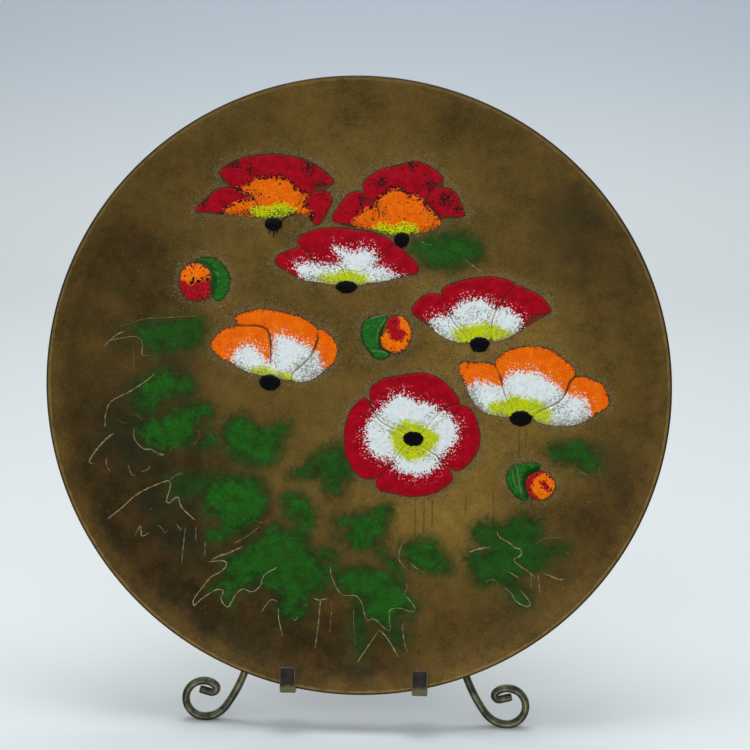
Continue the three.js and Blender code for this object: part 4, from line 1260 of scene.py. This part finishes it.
def bud(index, shape):
    """One bud: its petals and its green sepal, as two raised enamel pieces."""
    body = ragged(smooth(shape["petals"], 0.6), 0.2, 300 + index)

    def body_top(flat, depth):
        crown = BUD_CROWN * (np.sqrt(np.clip(depth / 5, 0, 1)) - 1)
        return BUD_TOP + crown + 0.04 * wobble(flat, 3, index)

    points, faces, depth = slab(body, 0.55, body_top, PATCH_BOTTOM, 1.0)
    flat = points[:, :2]
    core = np.full(len(flat), -9.0)
    if shape["core"]:
        core = signed_distance(flat, smooth(shape["core"], 1.0))
    attributes = {
        "edge": depth,
        "blush": signed_distance(flat, smooth(shape["blush"], 1.0)),
        "core": core,
        "worn": worn_near(flat, shape["worn"]),
    }
    add_object(
        f"bud_{index}_enamel", points, faces, bud_material(), "plate",
        [f"bud_{index}_petals"], attributes,
    )
    sepal = ragged(smooth(shape["sepal"], 0.7), 0.2, 320 + index)

    def sepal_top(flat, depth):
        return SEPAL_TOP + 0.12 * np.clip(depth / 3, 0, 1) + 0.04 * wobble(flat, 4, index + 7)

    points, faces, depth = slab(sepal, 0.6, sepal_top, PATCH_BOTTOM, 0.9)
    lines = np.vstack([smooth(line, 0.3, closed=False) for line in shape["creases"]])
    crease = np.min(np.linalg.norm(points[:, None, :2] - lines[None], axis=2), axis=1)
    add_object(
        f"bud_{index}_sepal_enamel", points, faces, sepal_material(), "plate",
        [f"bud_{index}_sepal"], {"edge": depth, "crease": crease},
    )


@cache
def bud_material():
    s = Enamel("bud_enamel")
    colour = s.mix(s.ramp(s.clump, 0.4, 0.65), paint(232, 104, 0), paint(240, 124, 4))
    blush = s.add(s.attribute("blush"), s.swing(s.grain, 1.0), s.swing(s.clump, 1.4))
    colour = s.mix(s.ramp(blush, -0.25, 0.25), colour, paint(158, 8, 24))
    core = s.add(s.attribute("core"), s.swing(s.grain, 0.8))
    colour = s.mix(s.ramp(core, -0.2, 0.3), colour, paint(150, 8, 20))
    worn = s.times(s.attribute("worn"), 0.34)
    specks = s.ramp(s.add(s.coarse, s.swing(s.clump, 0.35), worn), 0.93, 0.96)
    stray = s.ramp(s.add(s.grain, s.swing(s.clump, 0.3), worn), 0.95, 0.97, 0, 0.8)
    colour = s.mix(stray, colour, paint(196, 60, 16))
    colour = s.mix(specks, colour, paint(22, 14, 16))
    bare = s.ramp(s.add(s.attribute("edge"), s.swing(s.grain, 0.8)), 0.3, 0.1)
    colour = s.mix(bare, colour, paint(70, 48, 26))
    s.bump(s.add(s.times(s.grain, 0.5), s.fine, s.clump), 0.09)
    return s.finish(colour, s.add(0.34, s.swing(s.fine, 0.14)), Specular_IOR_Level=DOME_GLOSS)


@cache
def sepal_material():
    s = Enamel("sepal_enamel", clump_size=3.2)
    edge = s.add(s.attribute("edge"), s.swing(s.clump, 1.4))
    colour = s.mix(s.ramp(s.clump, 0.3, 0.65), paint(26, 78, 22), paint(34, 104, 28))
    colour = s.mix(s.ramp(edge, 1.2, 0.1, 0, 0.8), colour, paint(28, 58, 22))
    colour = s.shade(colour, s.add(1.0, s.swing(s.grain, 0.2), s.swing(s.fine, 0.2)))
    pits = s.ramp(s.add(s.noise(s.place, 1.1, 2), s.swing(s.clump, 0.4)), 0.72, 0.76, 0, 0.75)
    colour = s.mix(pits, colour, paint(12, 30, 14))
    line = s.ramp(s.add(s.attribute("crease"), s.swing(s.fine, 0.5)), 0.6, 0.2, 0, 0.5)
    colour = s.mix(line, colour, paint(112, 128, 84))
    s.bump(s.add(s.times(s.grain, 0.4), s.fine), 0.08)
    return s.finish(colour, s.add(0.36, s.swing(s.fine, 0.14)), Specular_IOR_Level=DOME_GLOSS)


# ---------- the scratched lines ----------

LINE_RISE = 0.06


def ribbon(path, width, seed, rise=LINE_RISE, sink=-0.08):
    """A thin closed strip of uneven width along a path on the plate's face."""
    rng = random.Random(seed)
    phases = [rng.uniform(0, 2 * math.pi) for _ in range(3)]
    count = len(path)
    ahead = np.gradient(path, axis=0)
    ahead /= np.linalg.norm(ahead, axis=1)[:, None]
    side = np.column_stack([-ahead[:, 1], ahead[:, 0]])
    points, faces = [], []
    travelled = 0.0
    for i in range(count):
        if i:
            travelled += float(np.linalg.norm(path[i] - path[i - 1]))
        jitter = (
            1 + 0.28 * math.sin(travelled * 1.1 + phases[0])
            + 0.18 * math.sin(travelled * 2.9 + phases[1])
        )
        ends = min(1.0, 0.25 + 0.35 * i, 0.25 + 0.35 * (count - 1 - i))
        half = 0.36 * width * jitter * ends
        drift = 0.10 * width * math.sin(travelled * 2.1 + phases[2])
        for offset, lift in ((-1, sink), (-0.55, rise), (0.55, rise), (1, sink)):
            u, v = path[i] + side[i] * (offset * half + drift)
            n = float(dish_height(math.hypot(u, v))) + lift
            points.append((u, v, n))
    for i in range(count - 1):
        a, b = 4 * i, 4 * i + 4
        for k in range(4):
            m = (k + 1) % 4
            faces.append((a + k, b + k, b + m, a + m))
    last = 4 * (count - 1)
    faces.append((0, 1, 2, 3))
    faces.append((last + 3, last + 2, last + 1, last))
    return np.array(points), faces


def add_scratches():
    """All scratched lines and flecks as one thin piece on the ground enamel."""
    parts = []
    for seed, (width, pale, corners) in enumerate(scratches):
        points, faces = ribbon(smooth(corners, 0.8, closed=False), width, seed)
        parts.append((points, faces, {"pale": np.full(len(points), pale)}))
    for seed, (u, v) in enumerate(flecks):
        path = np.array([(u - 0.5, v + 0.2), (u, v), (u + 0.5, v - 0.3)])
        points, faces = ribbon(path, 0.9, 900 + seed)
        parts.append((points, faces, {"pale": np.full(len(points), 0.8)}))
    points, faces, attributes = joined(parts)
    add_object(
        "sgraffito_lines", points, faces, line_material(), "plate", [], attributes,
    )


def line_material():
    s = Shader("scratched_line")
    spot = s.spot()
    blotch = s.noise(spot, 3, 3)
    fine = s.noise(spot, 0.5, 2)
    colour = s.mix(s.ramp(blotch, 0.3, 0.7), paint(120, 104, 66), paint(146, 128, 88))
    faint = s.add(s.attribute("pale"), s.swing(blotch, 0.9), s.swing(fine, 0.4))
    colour = s.mix(s.ramp(faint, 0.25, 1.0), paint(78, 66, 32), colour)
    s.bump(fine, 0.05)
    return s.finish(colour, s.add(0.5, s.swing(fine, 0.1)))


# ---------- the easel ----------

BAR = 4.6
BAR_CORNER = 1.5
BAR_CROWN = 0.12
FRAME_FRONT = -12.5
FRAME_BACK = FRAME_FRONT - BAR
BRACKET_FRONT = FRAME_BACK - 0.3
BRACKET_BACK = BRACKET_FRONT - 2.0
# The right leg's upper end, and its slant in degrees from upright.
LEG_TOP = (2.5, -5.1)
LEG_SPLAY = 20.9
LEG_LENGTH = 177.9
# The scroll as (degrees, radius) turns.
SCROLL = [(14, 90), (24, 18.1), (32, 14.8), (100, 11.05), (96, 10.85), (26, 8.9), (152, 2.6)]
SCROLL_TAIL = 7.0
CROSSBAR_V = -150.0
BRACKET_RIVET_V = -24.0
# Distance of each hook from the middle.
HOOK_X = 38.3
SIDES = {-1: "left", 1: "right"}


def bent_path(x, y, heading_degrees, moves, spacing):
    """Points and headings of a bent rod: ("go", length) or ("turn", radius, degrees)."""
    heading = math.radians(heading_degrees)
    path = [(x, y, heading)]
    for move in moves:
        if move[0] == "go":
            steps = max(1, round(move[1] / spacing))
            for _ in range(steps):
                x += move[1] / steps * math.cos(heading)
                y += move[1] / steps * math.sin(heading)
                path.append((x, y, heading))
            continue
        _, radius, degrees = move
        angle = math.radians(degrees)
        steps = max(2, round(abs(angle) * radius / spacing), round(abs(degrees) / 9))
        chord = 2 * radius * math.sin(abs(angle) / steps / 2)
        for _ in range(steps):
            x += chord * math.cos(heading + angle / steps / 2)
            y += chord * math.sin(heading + angle / steps / 2)
            heading += angle / steps
            path.append((x, y, heading))
    return path


def rounded_section(width, height, corner, crown=0.0, per_corner=5):
    """A rounded rectangle as (across, through, how pale) points, its faces crowned; pale marks painted
    highlights and rubbed edges.
    """
    section = []
    for k, (sx, sy) in enumerate(((1, 1), (-1, 1), (-1, -1), (1, -1))):
        for j in range(per_corner):
            share = j / (per_corner - 1)
            angle = math.radians(90 * (k + share))
            round_x = (corner - crown) * math.cos(angle)
            round_y = (corner - crown) * math.sin(angle)
            bulge = math.sin(math.pi * share)
            # Crowned bars: each face's middle is fully pale, a painted highlight along the bar, and the
            # corners only a little. Plain strips: the corners are pale, rubbed edges that are partly
            # painted highlights.
            pale_share = 0.3 - 0.3 * bulge if crown else max(0.35, bulge ** 0.5)
            section.append((
                sx * (width / 2 - corner) + round_x, sy * (height / 2 - corner) + round_y, pale_share,
            ))
        # The face's middle point carries the painted highlight.
        if crown:
            middle = math.radians(90 * (k + 1))
            section.append((width / 2 * math.cos(middle), height / 2 * math.sin(middle), 1.0))
    return section


def sweep(path, section, place, shrink=None, roughen=0.0, seed=0):
    """A closed bar: section carried along the path. place(x, y, through) gives (u, v, n)."""
    rng = random.Random(seed)
    phases = [rng.uniform(0, 2 * math.pi) for _ in range(4)]
    steps = [math.dist(a[:2], b[:2]) for a, b in zip(path, path[1:])]
    travelled = [0.0, *accumulate(steps)]
    total = travelled[-1]
    m = len(section)
    points, wear, faces = [], [], []
    for (x, y, heading), along in zip(path, travelled):
        scale = shrink(along / total) if shrink else (1.0, 1.0)
        from_end = min(along, total - along)
        chamfer = 1 - 0.16 * max(0.0, 1 - from_end / 0.6)
        for k, (across, through, worn) in enumerate(section):
            dent = roughen * (
                math.sin(along * 0.9 + phases[0] + 0.7 * k)
                + math.sin(along * 0.37 + phases[1] - 0.5 * k)
                + 0.6 * math.sin(along * 1.9 + phases[2] + 1.3 * k)
            )
            a = across * scale[0] * chamfer * (1 + dent)
            b = through * scale[1] * chamfer * (1 + dent)
            points.append(place(x - a * math.sin(heading), y + a * math.cos(heading), b))
            wear.append(worn)
    count = len(path)
    for i in range(count - 1):
        for k in range(m):
            j = (k + 1) % m
            faces.append((i * m + k, i * m + j, (i + 1) * m + j, (i + 1) * m + k))
    faces.append(tuple(range(m - 1, -1, -1)))
    faces.append(tuple(range((count - 1) * m, count * m)))
    return np.array(points), faces, np.array(wear)


def stand_on_floor(points):
    """Files flat whatever would reach under the floor."""
    below = np.minimum(to_world(points)[:, 2], 0) / MM
    return points - np.outer(below / math.cos(LEAN), (0, 1, 0))


def add_brass(name, points, faces, node, wear):
    add_object(
        name, points, faces, brass_material(), "easel_frame", [node], {"wear": wear},
    )


def front_leg(side):
    """A bar from the bracket down to its scroll foot. Side is -1 for left and 1 for right."""
    moves = [("go", LEG_LENGTH)]
    moves += [("turn", radius, degrees) for degrees, radius in SCROLL]
    moves.append(("go", SCROLL_TAIL))
    path = bent_path(LEG_TOP[0], LEG_TOP[1], LEG_SPLAY - 90, moves, 1.3)
    middle = (FRAME_FRONT + FRAME_BACK) / 2
    points, faces, wear = sweep(
        path, rounded_section(BAR, BAR, BAR_CORNER, BAR_CROWN),
        lambda x, y, b: (side * x, y, middle + b), roughen=0.008, seed=5 + side,
    )
    if side > 0:
        faces = flipped(faces)
    name = SIDES[side]
    add_brass(f"{name}_leg_bar", stand_on_floor(points), faces, f"{name}_leg", wear)


def strip_hook(side):
    """A flat strip down from the crossbar, forward under the rim and up in front of it."""
    thickness, width, bend = 1.8, 9.0, 3.4
    strip_back = -(BRACKET_FRONT - thickness / 2)
    floor_v, tip_v, top_v, front_n = -175.96, -160.4, -145.5, 3.9
    path = bent_path(strip_back, top_v, -90, [
        ("go", top_v - floor_v - bend),
        ("turn", bend, -90),
        ("go", strip_back + front_n - 2 * bend),
        ("turn", bend, -90),
        ("go", tip_v - floor_v - bend),
    ], 0.9)
    points, faces, wear = sweep(
        path, rounded_section(thickness, width, 0.45), lambda x, y, b: (side * HOOK_X + b, y, -x),
        roughen=0.006, seed=40 + side,
        shrink=lambda t: (1.0, 1 - 0.10 * max(0.0, (t - 0.985) / 0.015) ** 2),
    )
    # The hook's lower front bend is made paler, olive rather than dark.
    pale_share = np.clip(1 - (points[:, 1] + 173) / 4.5, 0, 1) * np.clip((points[:, 2] + 2) / 4, 0, 1)
    name = SIDES[side]
    add_object(
        f"{name}_hook_strip", points, flipped(faces), hook_material(), "easel_frame",
        [f"{name}_hook"], {"wear": wear, "pale_share": pale_share},
    )


@cache
def brass_material(has_wear=True):
    s = Shader("aged_brass" if has_wear else "aged_brass_plain")
    spot = s.spot() if has_wear else s.object_spot()
    cloud = s.noise(spot, 7, 3, 0.6)
    blotch = s.noise(spot, 2.4, 3, 0.6)
    fine = s.noise(spot, 0.5, 3)
    wear = s.attribute("wear") if has_wear else s.ramp(cloud, 0.45, 0.75)
    colour = s.mix(s.ramp(cloud, 0.35, 0.65), paint(52, 54, 48), paint(92, 90, 70))
    # Pale brass where the wear attribute is high: along the bars' face middles a painted highlight, at
    # corners rubbed edges, on rivet and pin heads towards their middles, and at random on the pieces copied
    # from CAD.
    pale_mix = s.ramp(s.add(wear, s.swing(cloud, 0.7), s.swing(blotch, 0.5)), 0.45, 1.15, 0, 0.8)
    colour = s.mix(pale_mix, colour, paint(172, 166, 126))
    dark = s.ramp(s.add(blotch, s.swing(fine, 0.2)), 0.62, 0.75, 0, 0.6)
    colour = s.mix(dark, colour, paint(34, 32, 28))
    s.bump(s.add(s.times(blotch, 1.2), s.times(fine, 0.35)), 0.14)
    roughness = s.add(0.42, s.swing(blotch, 0.2), s.swing(fine, 0.1))
    return s.finish(colour, roughness, Metallic=0.85)


@cache
def hook_material():
    s = Shader("hook_brass")
    spot = s.spot()
    cloud = s.noise(spot, 6, 3, 0.6)
    blotch = s.noise(spot, 2, 3, 0.6)
    fine = s.noise(spot, 0.5, 3)
    colour = s.mix(s.ramp(cloud, 0.35, 0.65), paint(44, 38, 38), paint(62, 56, 50))
    # Pale lines along the strip's edges: partly rubbed brass, partly painted highlights.
    edge = s.ramp(s.add(s.attribute("wear"), s.swing(blotch, 0.3)), 0.5, 0.95, 0, 0.75)
    colour = s.mix(edge, colour, paint(150, 142, 108))
    # The lower front bend is made paler, olive rather than dark.
    pale_mix = s.ramp(s.add(s.attribute("pale_share"), s.swing(blotch, 0.5)), 0.35, 0.95, 0, 0.85)
    colour = s.mix(pale_mix, colour, paint(118, 112, 78))
    s.bump(s.add(blotch, s.times(fine, 0.4)), 0.08)
    roughness = s.add(0.38, s.swing(blotch, 0.2))
    return s.finish(colour, roughness, Metallic=0.8)


def from_cad(node, name, bevel):
    """A CAD node's own shape with softened edges, as a new piece."""
    source = frame["nodes"][node]
    thing = source.copy()
    thing.data = source.data.copy()
    thing.name = name
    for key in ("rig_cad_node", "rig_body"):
        if key in thing:
            del thing[key]
    link(thing).parent = None
    weld = thing.modifiers.new("weld", "WELD")
    weld.merge_threshold = 0.00001
    soften = thing.modifiers.new("soften", "BEVEL")
    soften.width = bevel * MM
    soften.segments = 3
    soften.limit_method = "ANGLE"
    soften.angle_limit = math.radians(35)
    thing.data.materials.clear()
    thing.data.materials.append(brass_material(has_wear=False))
    smooth_shaded(thing.data)
    return thing


def add_easel():
    for build in (front_leg, strip_hook):
        for side in SIDES:
            build(side)
    for node, name, body, bevel in (
        ("crossbar", "crossbar_bar", "easel_frame", 0.6),
        ("hinge_bracket", "hinge_bracket_plate", "easel_frame", 0.35),
        ("back_leg", "back_leg_bar", "back_leg", 0.6),
    ):
        piece = from_cad(node, name, bevel)
        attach(piece, body)
        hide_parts(node)
    slope = math.tan(math.radians(LEG_SPLAY))
    rivet_x = LEG_TOP[0] + (LEG_TOP[1] - BRACKET_RIVET_V) * slope
    for side, word in SIDES.items():
        rivet(f"{word}_hook_rivet", side * HOOK_X, CROSSBAR_V, BRACKET_FRONT - 1.8)
        rivet(f"{word}_bracket_rivet", side * rivet_x, BRACKET_RIVET_V, BRACKET_BACK)
    add_pin()


def dome(radius, base, height, angles):
    """Points (radius, along) of a rounded head, at angles up from its edge."""
    return [(radius * math.cos(a), base + height * math.sin(a)) for a in np.radians(angles)]


def rivet(node, u, v, back_face):
    radius, head, height = 1.5, 2.9, 1.4
    under = back_face - 0.3
    front = FRAME_FRONT - 0.3
    profile = [(0.0, under - height), *dome(head, under, -height, (75, 60, 45, 30, 15, 4))]
    profile += [(head, under), (radius, under), (radius, front - 0.2), (radius - 0.2, front),
                (0.0, front)]
    points, faces = turned(profile, (u, v, 0), "n")
    wear = np.clip((head - np.hypot(points[:, 0] - u, points[:, 1] - v)) / head, 0, 1)
    add_brass(f"{node}_head", points, flipped(faces), node, wear)


def add_pin():
    radius, head, height, under = 2.0, 3.6, 1.6, 4.9
    half = [(radius, under), (head, under), *dome(head, under, height, (10, 25, 40, 55, 70, 82)),
            (0.0, under + height)]
    profile = [(r, -z) for r, z in reversed(half)] + half
    points, faces = turned(profile, (0, PIN_V, PIN_N), "u")
    wear = np.clip((np.abs(points[:, 0]) - under) / height, 0, 1)
    add_brass("hinge_pin_rod", points, flipped(faces), "hinge_pin", wear)


# ---------- the room: floor, backdrop, light and camera ----------


def add_stage():
    """A floor that sweeps up into a backdrop, in metres."""
    width, near, far, rise, bend = 3.0, -3.6, 0.75, 1.9, 0.45
    profile = [(near, 0.0), (far, 0.0)]
    for degrees in range(6, 90, 6):
        a = math.radians(degrees)
        profile.append((far + bend * math.sin(a), bend * (1 - math.cos(a))))
    profile += [(far + bend, bend), (far + bend, rise)]
    points = [(x, y, z) for y, z in profile for x in (-width, width)]
    faces = [(i, i + 1, i + 3, i + 2) for i in range(0, len(points) - 2, 2)]
    mesh = bpy.data.meshes.new("backdrop")
    mesh.from_pydata(points, [], faces)
    smooth_shaded(mesh)
    mesh.materials.append(backdrop_material())
    link(bpy.data.objects.new("backdrop", mesh))


def backdrop_material():
    s = Shader("backdrop")
    spot = s.object_spot()
    colour = s.mix(s.noise(spot, 300, 2), paint(184, 189, 190), paint(188, 193, 194))
    _, _, height = s.split(spot)
    # Painted shade: the backdrop grows darker and bluer higher up, standing for the light falling off.
    colour = s.mix(s.ramp(height, 10, 260), colour, paint(164, 173, 182))
    return s.finish(colour, 0.8, Specular_IOR_Level=0.1)


def add_light(name, place, target, size, power, colour):
    light = bpy.data.lights.new(name, "AREA")
    light.shape = "RECTANGLE"
    light.size, light.size_y = size
    light.energy = power
    light.color = colour
    thing = link(bpy.data.objects.new(name, light))
    thing.location = place
    thing.rotation_euler = (Vector(target) - Vector(place)).to_track_quat("-Z", "Y").to_euler()


def add_lights():
    world = bpy.data.worlds.new("room")
    world.use_nodes = True
    background = world.node_tree.nodes["Background"]
    background.inputs[0].default_value = (0.86, 0.93, 1.0, 1)
    background.inputs[1].default_value = 0.30
    bpy.context.scene.world = world
    middle = (0, 0, 0.19)
    add_light("top_softbox", (0.0, 0.12, 1.3), (0, 0.0, 0), (0.8, 0.6), 18.0, (1, 1, 1))
    add_light("front_softbox", (-0.1, -1.5, 1.25), middle, (2.2, 0.8), 12.5, (1, 0.99, 0.97))
    add_light("left_softbox", (-1.2, -0.5, 0.8), middle, (0.6, 0.7), 3.2, (1, 0.99, 0.97))
    add_light("right_softbox", (1.2, -0.5, 0.8), middle, (0.6, 0.7), 2.6, (0.97, 0.98, 1))
    add_light("back_softbox", (0.0, 1.0, 1.2), (0, 0.2, 0.1), (1.8, 0.6), 6.0, (0.98, 0.99, 1))


CAMERA_AZIMUTH = math.radians(2.886)
CAMERA_ELEVATION = math.radians(20.212)
CAMERA_DISTANCE = 1.0
CAMERA_LENS = 84.97
CAMERA_TARGET = RIM_CENTRE + np.array((10.55, 0, 11.30)) * MM


def add_camera():
    camera = bpy.data.cameras.new("camera")
    camera.lens = CAMERA_LENS
    camera.sensor_width = 36
    camera.clip_start = 0.01
    thing = link(bpy.data.objects.new("camera", camera))
    level = math.cos(CAMERA_ELEVATION)
    back = Vector((
        math.sin(CAMERA_AZIMUTH) * level,
        -math.cos(CAMERA_AZIMUTH) * level,
        math.sin(CAMERA_ELEVATION),
    ))
    thing.location = Vector(CAMERA_TARGET) + CAMERA_DISTANCE * back
    thing.rotation_euler = back.to_track_quat("Z", "Y").to_euler()
    bpy.context.scene.camera = thing


front_enamel()
copper_plate()
back_enamel()
for number, flower in enumerate(poppies, 1):
    poppy(number, flower)
for number, shape in enumerate(buds, 1):
    bud(number, shape)
add_scratches()
add_easel()
add_stage()
add_lights()
add_camera()
bpy.context.scene.view_settings.view_transform = "Standard"
